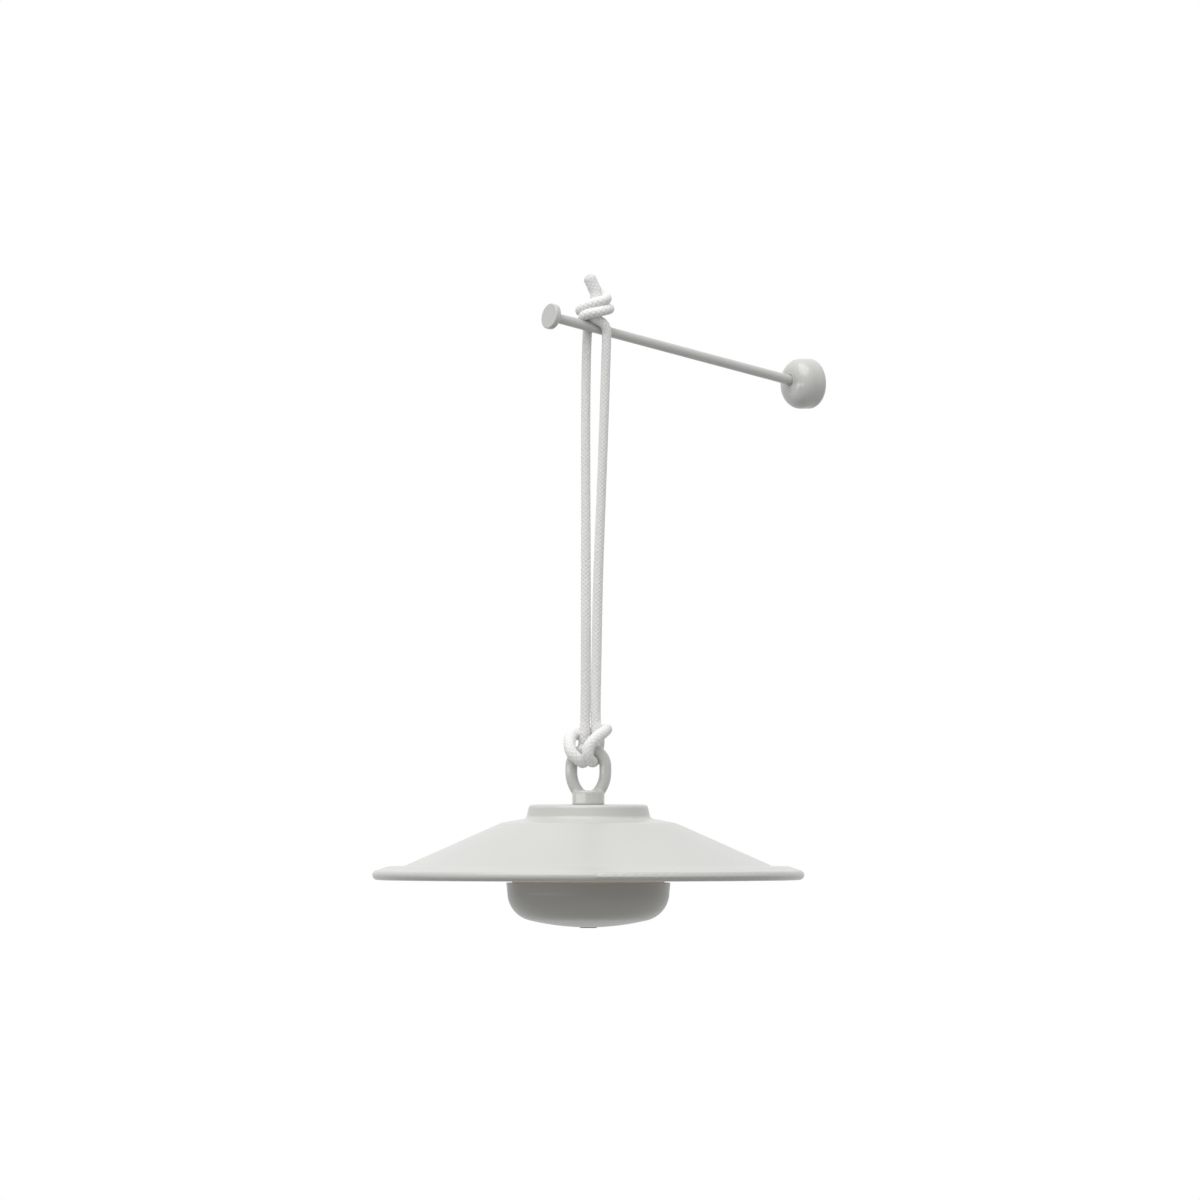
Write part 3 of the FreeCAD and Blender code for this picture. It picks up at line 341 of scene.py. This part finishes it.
def rod_core(points):
    """The points' nearest places on the rod's axis."""
    along = np.array([0.0, -math.cos(ROD_TILT), math.sin(ROD_TILT)])
    return ROD_FOOT + ((points - ROD_FOOT) @ along)[..., None] * along


def eye_core(points):
    """The points' nearest places on the middle line of the eye's round top and of its straight sides below."""
    right = (points - LAMP_AXIS) @ RIGHT
    up = points[..., 2] - EYE_TOP_CENTRE / 1000
    out = np.hypot(right, np.maximum(up, 0.0)) / EYE_TOP_RADIUS * 1000
    level = np.where(up > 0, up / out, up) + EYE_TOP_CENTRE / 1000
    return LAMP_AXIS + (right / out)[..., None] * RIGHT + level[..., None] * UP


def rocked(points, angle):
    """Points turned by an angle about the level line through the middle of the eye's top bar, as the lamp rocks."""
    pivot = LAMP_AXIS + UP * EYE_BAR_HEIGHT / 1000
    right, away, up = np.moveaxis((points - pivot) @ TURNED.T, -1, 0)
    turned = [right, away * math.cos(angle) - up * math.sin(angle), away * math.sin(angle) + up * math.cos(angle)]
    return pivot + np.stack(turned, -1) @ TURNED


def ring_quads(rows, columns, looped=False):
    """Corner numbers of the quads of a grid of points (along, around), closed round and, if looped, end to end."""
    i, j = np.meshgrid(np.arange(rows if looped else rows - 1), np.arange(columns), indexing="ij")
    on, after = (i + 1) % rows, (j + 1) % columns
    quads = np.stack([i * columns + j, i * columns + after, on * columns + after, on * columns + j], -1)
    return quads.reshape(-1, 4)


def end_fans(rows, columns, hub):
    """Corner numbers of the triangles that close such a grid's two ends, each round its own hub point."""
    around = np.arange(columns)
    after = (around + 1) % columns
    last = (rows - 1) * columns
    low = np.stack([np.full(columns, hub), after, around], -1)
    high = np.stack([np.full(columns, hub + 1), last + around, last + after], -1)
    return np.concatenate([low, high])


def piece_of(name, points, faces, finish):
    """A new smooth piece from its points and the corner numbers of its faces."""
    mesh = bpy.data.meshes.new(name)
    mesh.from_pydata(points, [], faces)
    mesh.polygons.foreach_set("use_smooth", np.ones(len(faces), bool))
    mesh.materials.append(finish)
    piece = bpy.data.objects.new(name, mesh)
    bpy.context.scene.collection.objects.link(piece)
    return piece


def braid(run, angle):
    """How high the braid stands, from 0 in a groove to 1 on a stitch.

    Two families of slanted lines cut the cord's skin into diamonds. In every other diamond the strand of one
    hand lies on top, and in the rest the strand of the other: half round across itself, and low at its two ends.
    """
    climb = BRAID_PAIRS * angle / (2 * np.pi)
    one, other = climb + run / BRAID_STITCH, climb - run / BRAID_STITCH
    over = (np.floor(one) + np.floor(other)) % 2 == 0
    across = 2 * (np.where(over, one, other) % 1) - 1
    along = 2 * (np.where(over, other, one) % 1) - 1
    return np.sqrt(1 - across**2) * (1 - BRAID_DIP * along**2)


def braided_cord(length, greying_from):
    """Off-white polyester with the braid's diamonds worked out again from the UV map, finer than the mesh.

    Grooves are painted darker as shade and stitch crests lighter as painted highlight. Each stitch shows its yarns
    as fine ridges along itself, and a fuzz lies over all.
    At the cord's two ends the braid fades into the greyer skin of the melted yarn, and beyond a distance from
    both ends, in the hitch, its colour is greyed a little.
    """
    made, tree, shader = material("braided_cord", {"Roughness": 0.88, "Sheen Weight": 0.2, "Sheen Roughness": 0.5})
    lay = add(tree, "SeparateXYZ", {"Vector": add(tree, "TexCoord").outputs["UV"]})
    climb = sums(tree, "MULTIPLY", lay.outputs["Y"], float(BRAID_PAIRS))
    one = sums(tree, "ADD", climb, lay.outputs["X"])
    other = sums(tree, "SUBTRACT", climb, lay.outputs["X"])
    cell = sums(tree, "ADD", sums(tree, "FLOOR", one), sums(tree, "FLOOR", other))
    under = sums(tree, "FLOORED_MODULO", cell, 2.0)
    over = sums(tree, "SUBTRACT", 1.0, under)
    hands = [sums(tree, "FRACT", one), sums(tree, "FRACT", other)]
    across = add(tree, "Mix", {"Factor": under, "A": hands[0], "B": hands[1]}).outputs[0]
    along = add(tree, "Mix", {"Factor": over, "A": hands[0], "B": hands[1]}).outputs[0]
    side = sums(tree, "MULTIPLY_ADD", across, 2.0, -1.0)
    reach = sums(tree, "MULTIPLY_ADD", along, 2.0, -1.0)
    rounded = sums(tree, "SQRT", sums(tree, "SUBTRACT", 1.0, sums(tree, "MULTIPLY", side, side)))
    dip = sums(tree, "MULTIPLY_ADD", sums(tree, "MULTIPLY", reach, reach), -BRAID_DIP, 1.0)
    stitch = sums(tree, "MULTIPLY", rounded, dip)
    yarn = sums(tree, "SINE", sums(tree, "MULTIPLY", across, 2 * math.pi * YARNS_PER_STITCH))
    fuzz = noise(tree, FUZZ_SCALE, 3.0)
    # The colour follows the stitch's height: painted shade in the grooves and painted highlight on the crests
    shaded_tone = sums(tree, "MULTIPLY_ADD", fuzz, FUZZ_TONE, sums(tree, "MULTIPLY", stitch, STITCH_SHADE_SHARE))
    tones = [(0.10, GROOVE_SHADE_COLOUR), (0.55, STITCH_COLOUR), (0.95, CREST_HIGHLIGHT_COLOUR)]
    from_far_end = sums(tree, "SUBTRACT", length / BRAID_STITCH, lay.outputs["X"])
    to_end = sums(tree, "MINIMUM", lay.outputs["X"], from_far_end)
    past_melt = sums(tree, "MULTIPLY", to_end, MELT_FADE * BRAID_STITCH / SEALED_END)
    braided = add(tree, "Clamp", {"Value": past_melt}).outputs[0]
    # In the hitch, past a distance from both ends, the colour is greyed a little
    into_hitch = sums(tree, "MULTIPLY", sums(tree, "SUBTRACT", to_end, greying_from / BRAID_STITCH), GREYING_FADE)
    hitch_greying = sums(tree, "MULTIPLY", add(tree, "Clamp", {"Value": into_hitch}).outputs[0], GREYING_SHARE)
    shaded_yarn = ramp(tree, shaded_tone, tones)
    greyed_yarn = add(tree, "MixRGB", {"Fac": hitch_greying, "Color1": shaded_yarn, "Color2": (*GROOVE_SHADE_COLOUR, 1.0)})
    yarns = add(tree, "MixRGB", {"Fac": braided, "Color1": MELTED_COLOUR, "Color2": greyed_yarn.outputs[0]})
    tree.links.new(yarns.outputs[0], shader.inputs["Base Color"])
    fine = sums(tree, "MULTIPLY_ADD", yarn, YARN_RELIEF, sums(tree, "MULTIPLY", fuzz, FUZZ_RELIEF))
    height = sums(tree, "MULTIPLY", sums(tree, "ADD", stitch, fine), braided)
    relief(tree, shader, height, BRAID_DEPTH, strength=0.6)
    return made


hitch = [(right, away, up + EYE_BAR_HEIGHT) for right, away, up in HITCH]
rope_line, rope_run = smooth_line(hung([*BACK_KNOT, *BACK_FALL, *hitch, *FRONT_FALL, *FRONT_KNOT]), ROPE_STEP)
rope_side, rope_other = untwisted_frame(rope_line, SIDE_GUIDE @ TURNED)
rope_angle = np.linspace(0.0, 2 * np.pi, ROPE_SIDES, endpoint=False)
from_end = np.minimum(rope_run, rope_run[-1] - rope_run)[:, None]
sealed = np.sqrt(np.clip(1.0 - (1.0 - np.clip(from_end / SEALED_END, 0.0, 1.0)) ** 2, SEALED_TIP, 1.0))
slack = np.interp(rope_line[:, 2], *np.array(SWELL).T)[:, None]
tail = np.exp(-((from_end / TAIL_LENGTH) ** 4))
slack += (TAIL_SWELL - slack) * tail
melted = np.clip(MELT_REACH - from_end / SEALED_END, 0.0, 1.0)
groove_depth = BRAID_DEPTH * (1.0 - TAIL_FLATNESS * tail) * (1.0 - melted)
groove = groove_depth * (1.0 - braid(rope_run[:, None], rope_angle))
rope_radius = (ROPE_RADIUS * slack - groove) * sealed
rope_grid = (
    rope_line[:, None]
    + (rope_radius * np.cos(rope_angle))[..., None] * rope_side[:, None]
    + (rope_radius * np.sin(rope_angle))[..., None] * rope_other[:, None]
)
rope_grid = pressed_off(rope_grid, rod_core(rope_grid), ROD_RADIUS)
for rock in ROCK_ANGLES:
    met = rocked(rope_grid, rock)
    rope_grid = rocked(pressed_off(met, eye_core(met), (EYE_BAR_RADIUS + EYE_ROOM) / 1000), -rock)
rope_rows = len(rope_line)
rope_quads = ring_quads(rope_rows, ROPE_SIDES)
rope_fans = end_fans(rope_rows, ROPE_SIDES, rope_rows * ROPE_SIDES)
rope_points = np.concatenate([rope_grid.reshape(-1, 3), rope_line[[0, -1]]])
rope_yarn = braided_cord(rope_run[-1], from_end[rope_line[:, 2] < GREYING_HEIGHT].min())
rope = piece_of("rope", rope_points, [*rope_quads.tolist(), *rope_fans.tolist()], rope_yarn)
corner_row = np.concatenate([rope_quads.ravel() // ROPE_SIDES, np.repeat([0, rope_rows - 1], 3 * ROPE_SIDES)])
corner_step = np.concatenate(
    [
        (np.arange(len(rope_quads))[:, None] % ROPE_SIDES + np.array([0, 1, 1, 0])).ravel(),
        np.tile(np.arange(ROPE_SIDES), 6),
    ]
)
rope_lay = np.column_stack([rope_run[corner_row] / BRAID_STITCH, corner_step / ROPE_SIDES])
rope.data.uv_layers.new(name="lay").data.foreach_set("uv", rope_lay.astype(np.float32).ravel())
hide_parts("rope_knot", "front_fall", "back_fall", "rope_hitch")
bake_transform(rope)

# Hanging eye: a forged steel ring that runs into a short turned neck with a soft fillet, in the arm's coat.
# Its stud goes down through the crown and is screwed into the pillar, so the neck is drawn down on the crown.
EYE_CENTRE = -269.8
EYE_FLANK_RADIUS = 22.0
EYE_FOOT_RADIUS = 9.0
EYE_NECK = [
    (4.0, -313.4),
    (4.0, -291.4),
    (9.0, -291.4),
    (9.0, -292.2),
    (11.2, -292.2),
    (11.2, -283.4),
    (10.2, -282.4),
]
EYE_STEPS = 96
EYE_GRAIN = 0.00034


def oval_bar():
    """A round bar carried along three arcs and their mirror images.

    From the top of the eye a small arc turns down to the straight side, a wide flank closes in from there, and
    where the flank meets it a foot arc rounds off the bottom. The bar's circle stands square to that line.
    """
    inset = EYE_FLANK_RADIUS - EYE_TOP_RADIUS
    drop = math.sqrt((EYE_FLANK_RADIUS - EYE_FOOT_RADIUS) ** 2 - inset**2)
    meeting = math.atan2(drop, inset)
    arcs = [
        (0.0, EYE_TOP_CENTRE, EYE_TOP_RADIUS, math.pi / 2, 0.0),
        (-inset, EYE_CENTRE, EYE_FLANK_RADIUS, 0.0, -meeting),
        (0.0, EYE_CENTRE - drop, EYE_FOOT_RADIUS, -meeting, -math.pi / 2),
    ]
    half = []
    for right, up, radius, start, stop in arcs:
        turn = np.linspace(start, stop, EYE_STEPS // 4)
        out_right, out_up = np.cos(turn), np.sin(turn)
        half.append(np.stack([right + radius * out_right, up + radius * out_up, out_right, out_up], -1))
    half = np.concatenate(half)
    line = np.concatenate([half, half[-2:0:-1] * (-1.0, 1.0, -1.0, 1.0)])
    round_bar = np.arange(EYE_STEPS // 2) * 4 * np.pi / EYE_STEPS
    right, up, out_right, out_up = line.T[..., None]
    out, away = EYE_BAR_RADIUS * np.cos(round_bar), EYE_BAR_RADIUS * np.sin(round_bar)
    shape = (len(line), len(round_bar))
    return hung(np.stack([right + out * out_right, np.broadcast_to(away, shape), up + out * out_up], -1))


def turned_round(profile, steps):
    """A profile of (radius, height) corners turned about the lamp's axis."""
    radius, height = np.array(profile).T[..., None]
    turn = np.arange(steps) * 2 * np.pi / steps
    shape = (len(profile), steps)
    return hung(np.stack([radius * np.cos(turn), radius * np.sin(turn), np.broadcast_to(height, shape)], -1))


bar_grid = oval_bar()
neck_grid = turned_round(EYE_NECK, EYE_STEPS)
neck_hubs = hung([(0.0, 0.0, EYE_NECK[0][1]), (0.0, 0.0, EYE_NECK[-1][1])])
bar_count = bar_grid.size // 3
bar_quads = ring_quads(*bar_grid.shape[:2], looped=True)[:, ::-1]
neck_quads = bar_count + ring_quads(len(EYE_NECK), EYE_STEPS)
neck_fans = bar_count + end_fans(len(EYE_NECK), EYE_STEPS, len(EYE_NECK) * EYE_STEPS)
eye = piece_of(
    "eye",
    np.concatenate([bar_grid.reshape(-1, 3), neck_grid.reshape(-1, 3), neck_hubs]),
    [*bar_quads.tolist(), *neck_quads.tolist(), *neck_fans.tolist()],
    arm_coat,
)
joined = eye.modifiers.new("one_forging", "REMESH")
joined.mode = "VOXEL"
joined.voxel_size = EYE_GRAIN
joined.use_smooth_shade = True
fillet = eye.modifiers.new("fillet", "SMOOTH")
fillet.factor = 0.5
fillet.iterations = 24
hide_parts("hanging_eye")
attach(eye, "lamp")

# Crown seal and washer: a thin black rubber ring under the neck, and a wide plated washer inside the crown.
# The eye's stud clamps both as it is screwed down.
RUBBER_COLOUR = (0.035, 0.035, 0.036)
seal_rubber = grained("seal_rubber", RUBBER_COLOUR, roughness=0.72, grain=0.0002, depth=0.00002, contrast=0.25)
dress(seal_rubber, "crown_seal")
dress(plated_steel, "crown_washer")

# Shade: spun from aluminium sheet, with a rolled lip, and sprayed inside and out like the arm.
# The spinning tool leaves very low rings that the coat nearly hides.
SPUN_RING = 0.0016
RING_DEPTH = 0.000006


def from_axis(tree):
    """A place on the lamp, measured from its upright axis, and how far from the axis it is."""
    place = add(tree, "TexCoord").outputs["Object"]
    level = add(tree, "VectorMath", {0: place, 1: LAMP_AXIS}, operation="SUBTRACT").outputs[0]
    flat = add(tree, "VectorMath", {0: level, 1: (1.0, 1.0, 0.0)}, operation="MULTIPLY").outputs[0]
    return flat, add(tree, "VectorMath", {0: flat}, operation="LENGTH").outputs["Value"]


def tool_rings(tree, pitch):
    """Rings round the lamp's axis, as a tool leaves them: noise along the distance from the axis alone."""
    _, distance = from_axis(tree)
    rings = add(tree, "TexNoise", {"W": distance, "Scale": 1 / pitch, "Detail": 2.0}, noise_dimensions="1D")
    return rings.outputs["Fac"]


def spun_coat():
    """The arm's coat with the spinning rings under it, added to the bump of its grain."""
    made = grained(
        "spun_coat",
        COAT_COLOUR,
        roughness=0.36,
        grain=0.0004,
        depth=0.000008,
        contrast=0.03,
        Coat_Weight=0.2,
        Coat_Roughness=0.2,
    )
    tree = made.node_tree
    grain = next(node for node in tree.nodes if node.bl_idname == "ShaderNodeBump")
    rings = add(tree, "Bump", {"Height": tool_rings(tree, SPUN_RING), "Strength": 1.0, "Distance": RING_DEPTH})
    tree.links.new(rings.outputs["Normal"], grain.inputs["Normal"])
    return made


dress(spun_coat(), "shade")

# Pillar and deck: bare turned aluminium, which carries the light unit and spreads the lamps' heat.
# The pillar's flange is screwed down on the deck, and the deck on the bowl, with a rubber ring between.
ALUMINIUM_COLOUR = (0.72, 0.72, 0.71)
LATHE_PITCH = 0.00035
LATHE_ROUGHNESS = (0.30, 0.18)


def turned_aluminium():
    """Bright metal with lathe rings that change its gloss and stand out a few thousandths of a millimetre."""
    made, tree, shader = material("turned_aluminium", {"Metallic": 1.0})
    rings = tool_rings(tree, LATHE_PITCH)
    tones = [(0.3, shade_of(ALUMINIUM_COLOUR, 0.9)), (0.7, shade_of(ALUMINIUM_COLOUR, 1.06))]
    tree.links.new(ramp(tree, rings, tones), shader.inputs["Base Color"])
    tree.links.new(sums(tree, "MULTIPLY_ADD", rings, *LATHE_ROUGHNESS), shader.inputs["Roughness"])
    relief(tree, shader, rings, RING_DEPTH)
    return made


dress(turned_aluminium(), "pillar", "light_deck")
dress(seal_rubber, "deck_seal")
dress(plated_steel, "pillar_screws", "deck_screws")

# Light board and its lamps: a ring board with 24 small surface lamps, under an opal moulded cover.
# The cover is lit from behind, so its edge shows as a thin warm line between the bowl and the shade.
MASK_COLOUR = (0.02, 0.11, 0.05)
TRACK_COLOUR = (0.05, 0.19, 0.09)
TIN_COLOUR = (0.55, 0.55, 0.53)
TRACK_SCALE = 260.0
TRACK_DEPTH = 0.00003
PHOSPHOR_COLOUR = (0.85, 0.62, 0.16)
LAMP_COUNT = 24
LAMP_CIRCLE = 0.036
WARM_LIGHT = (1.0, 0.60, 0.28, 1.0)
GLOW_WIDTH = 0.0115
GLOW_PEAK = 0.7
GLOW_REST = 0.07
PATCH_LEVEL = 0.9
PATCH_SWING = 0.12
CLOUD_SCALE = 90.0
OPAL_THIN = (0.62, 0.61, 0.585)
OPAL_THICK = (0.68, 0.67, 0.645)


def solder_mask():
    """Green mask: square cells show copper tracks under it as lighter bands, with tinned pads in their middles."""
    made, tree, shader = material("solder_mask", {"Roughness": 0.35, "Coat Weight": 0.4, "Coat Roughness": 0.2})
    place = add(tree, "TexCoord").outputs["Object"]
    cells = add(tree, "TexVoronoi", {"Vector": place, "Scale": TRACK_SCALE}, distance="CHEBYCHEV")
    off_middle = cells.outputs["Distance"]
    tones = [
        (0.0, TIN_COLOUR),
        (0.09, TIN_COLOUR),
        (0.11, MASK_COLOUR),
        (0.30, MASK_COLOUR),
        (0.32, TRACK_COLOUR),
        (0.40, TRACK_COLOUR),
        (0.42, MASK_COLOUR),
    ]
    tree.links.new(ramp(tree, off_middle, tones), shader.inputs["Base Color"])
    relief(tree, shader, off_middle, TRACK_DEPTH)
    return made


def lit_opal():
    """Opal plastic: each lamp of the ring shows as a soft patch, and the light fades from the ring to the edge."""
    made, tree, shader = material("lit_opal", {"Roughness": 0.5, "Emission Color": WARM_LIGHT})
    flat, distance = from_axis(tree)
    spot = add(tree, "SeparateXYZ", {"Vector": flat})
    angle = sums(tree, "ARCTAN2", spot.outputs["Y"], spot.outputs["X"])
    patches = sums(tree, "COSINE", sums(tree, "MULTIPLY", angle, float(LAMP_COUNT)))
    off_ring = sums(tree, "MULTIPLY", sums(tree, "SUBTRACT", distance, LAMP_CIRCLE), 1 / GLOW_WIDTH)
    glow = sums(tree, "EXPONENT", sums(tree, "MULTIPLY", sums(tree, "MULTIPLY", off_ring, off_ring), -1.0))
    uneven = sums(tree, "MULTIPLY_ADD", patches, PATCH_SWING, PATCH_LEVEL)
    strength = sums(tree, "MULTIPLY_ADD", sums(tree, "MULTIPLY", glow, uneven), GLOW_PEAK, GLOW_REST)
    tree.links.new(strength, shader.inputs["Emission Strength"])
    tones = [(0.3, OPAL_THIN), (0.7, OPAL_THICK)]
    tree.links.new(ramp(tree, noise(tree, CLOUD_SCALE, 3.0), tones), shader.inputs["Base Color"])
    return made


phosphor = grained(
    "phosphor",
    PHOSPHOR_COLOUR,
    roughness=0.5,
    grain=0.0002,
    depth=0.00001,
    contrast=0.1,
    Emission_Color=WARM_LIGHT,
    Emission_Strength=2.0,
)
board_mask = solder_mask()
dress(board_mask, "led_board")
dress(phosphor, "leds")
dress(lit_opal(), "diffuser")

# Bowl: a moulded shell in the coat's light grey, painted a little darker and warmer as shade from the lamp's
# shade above it, with the fine spark grain of its mould.
# The deck closes it from above, and its bottom has a hole for the button.
BOWL_SHADED_COLOUR = (0.506, 0.501, 0.463)
bowl_plastic = grained("bowl_plastic", BOWL_SHADED_COLOUR, roughness=0.32, grain=0.0003, depth=0.00002, contrast=0.03)
dress(bowl_plastic, "puck_bowl")

# Battery, its tray, foam pad and main board: a foil pouch cell in a black moulded tray, with the pad on top of it.
# The tray is screwed to the bowl's posts through the main board, and the deck holds the pad down.
FOIL_COLOUR = (0.60, 0.62, 0.65)
TRAY_COLOUR = (0.028, 0.028, 0.029)
FOAM_COLOUR = (0.055, 0.055, 0.057)
battery_foil = grained(
    "battery_foil", FOIL_COLOUR, roughness=0.30, grain=0.0012, depth=0.00005, contrast=0.05, Metallic=1.0
)
tray_plastic = grained("tray_plastic", TRAY_COLOUR, roughness=0.5, grain=0.0003, depth=0.00003, contrast=0.2)
pad_foam = grained("pad_foam", FOAM_COLOUR, roughness=0.95, grain=0.0008, depth=0.0004, contrast=0.4)
dress(board_mask, "main_board")
dress(plated_steel, "board_screws")
dress(tray_plastic, "battery_tray")
dress(battery_foil, "battery_pack")
dress(pad_foam, "battery_pad")

# Button and switch: a soft grey push button that fills the bowl's bottom hole, and the board's switch behind it.
# A flange inside the bowl keeps the button in, and its underside bears on the switch's plunger.
BUTTON_COLOUR = (0.36, 0.357, 0.35)
button_rubber = grained(
    "button_rubber", BUTTON_COLOUR, roughness=0.62, grain=0.00025, depth=0.00002, contrast=0.05
)
dress(button_rubber, "power_button")
dress(tray_plastic, "switch_body", "switch_plunger")

# Charging port: a plated socket on a small board, behind a rubber flap in the side away from the camera.
# The flap hangs by its lower edge and its nib plugs the slot.
FLAP_COLOUR = (0.47, 0.467, 0.455)
flap_rubber = grained("flap_rubber", FLAP_COLOUR, roughness=0.64, grain=0.00025, depth=0.00003, contrast=0.05)
dress(board_mask, "usb_board")
dress(plated_steel, "usb_socket")
dress(flap_rubber, "port_flap")

# Leads: pairs of thin insulated wires between the boards, soldered at both ends.
# One wire of each pair is red and the other black.
WIRE_RED = (0.42, 0.02, 0.015, 1.0)
WIRE_BLACK = (0.02, 0.02, 0.022, 1.0)
DRAW_SCALE = 1500.0
DRAW_DEPTH = 0.00001
DRAW_ROUGHNESS = (0.20, 0.25)


def paired_insulation():
    """Glossy insulation, red on the right of the lamp's axis and black on its left, with a faint draw grain."""
    made, tree, shader = material("paired_insulation", {"Specular IOR Level": 0.5})
    flat, _ = from_axis(tree)
    side = add(tree, "VectorMath", {0: flat, 1: RIGHT}, operation="DOT_PRODUCT").outputs["Value"]
    right = sums(tree, "GREATER_THAN", side, 0.0)
    colour = add(tree, "MixRGB", {"Fac": right, "Color1": WIRE_BLACK, "Color2": WIRE_RED})
    tree.links.new(colour.outputs[0], shader.inputs["Base Color"])
    grain = noise(tree, DRAW_SCALE, 2.0)
    tree.links.new(sums(tree, "MULTIPLY_ADD", grain, *DRAW_ROUGHNESS), shader.inputs["Roughness"])
    relief(tree, shader, grain, DRAW_DEPTH)
    return made


dress(paired_insulation(), "led_leads", "battery_leads", "usb_leads")

# Stage: a plain pale floor well below the hanging lamp, under one broad soft light from above and in front.
# A level strip of light at the left shows in gloss alone. To the lens and in reflections the sky is white, and
# the floor is topped up to white but keeps its shadow.
FLOOR_HEIGHT = -0.95
FLOOR_REACH = 14.0
FLOOR_COLOUR = (0.25, 0.25, 0.25, 1.0)
FLOOR_TOP_UP = 0.72
SKY_LIGHT = 0.70
KEY_SIZE = (7.2, 7.2)
KEY_POWER = 365.0
KEY_FROM = (-1500.0, -2500.0, 5550.0)
STRIP_SIZE = (8.0, 0.5)
STRIP_POWER = 50.0
STRIP_FROM = (-4330.0, -2500.0, -250.0)


def seen(tree):
    """1 for rays from the lens, a gloss or a glass, and 0 for all others."""
    ray = add(tree, "LightPath")
    gloss = sums(tree, "MAXIMUM", ray.outputs["Is Glossy Ray"], ray.outputs["Is Transmission Ray"])
    return sums(tree, "MAXIMUM", ray.outputs["Is Camera Ray"], gloss)


def pale_floor():
    """A matte floor that glows a little for rays that see it; from below it is clear, so that it hides nothing."""
    made, tree, _ = material("pale_floor", {})
    tree.nodes.clear()
    matte = add(tree, "BsdfDiffuse", {"Color": FLOOR_COLOUR}).outputs[0]
    glow = add(tree, "Emission", {"Strength": sums(tree, "MULTIPLY", seen(tree), FLOOR_TOP_UP)}).outputs[0]
    top = add(tree, "AddShader", {0: matte, 1: glow}).outputs[0]
    clear = add(tree, "BsdfTransparent").outputs[0]
    below = add(tree, "NewGeometry").outputs["Backfacing"]
    both = add(tree, "MixShader", {0: below, 1: top, 2: clear}).outputs[0]
    add(tree, "OutputMaterial", {"Surface": both})
    return made


def area_light(name, size, power, place):
    """A rectangular light at a place, as (right, away, up) in millimetres, that faces the middle of the picture."""
    data = bpy.data.lights.new(name, "AREA")
    data.shape = "RECTANGLE"
    data.size, data.size_y = size
    data.energy = power
    light = bpy.data.objects.new(name, data)
    light.location = hung(place)
    aim(light, hung(PICTURE_CENTRE) - hung(place))
    bpy.context.scene.collection.objects.link(light)
    return light


floor_corners = np.array([(-1, -1, 0), (1, -1, 0), (1, 1, 0), (-1, 1, 0)]) * FLOOR_REACH + FLOOR_HEIGHT * UP
floor = piece_of("floor", floor_corners, [(0, 1, 2, 3)], pale_floor())

world = bpy.data.worlds.new("white_sky")
world.use_nodes = True
bpy.context.scene.world = world
sky_tree = world.node_tree
sky_tree.nodes.clear()
strength = sums(sky_tree, "MULTIPLY_ADD", seen(sky_tree), 1.0 - SKY_LIGHT, SKY_LIGHT)
sky = add(sky_tree, "Background", {"Color": (1.0, 1.0, 1.0, 1.0), "Strength": strength})
add(sky_tree, "OutputWorld", {"Surface": sky.outputs[0]})

area_light("soft_key", KEY_SIZE, KEY_POWER, KEY_FROM)
strip = area_light("gloss_strip", STRIP_SIZE, STRIP_POWER, STRIP_FROM)
strip.visible_camera = False
strip.visible_diffuse = False

bpy.context.scene.view_settings.view_transform = "Standard"
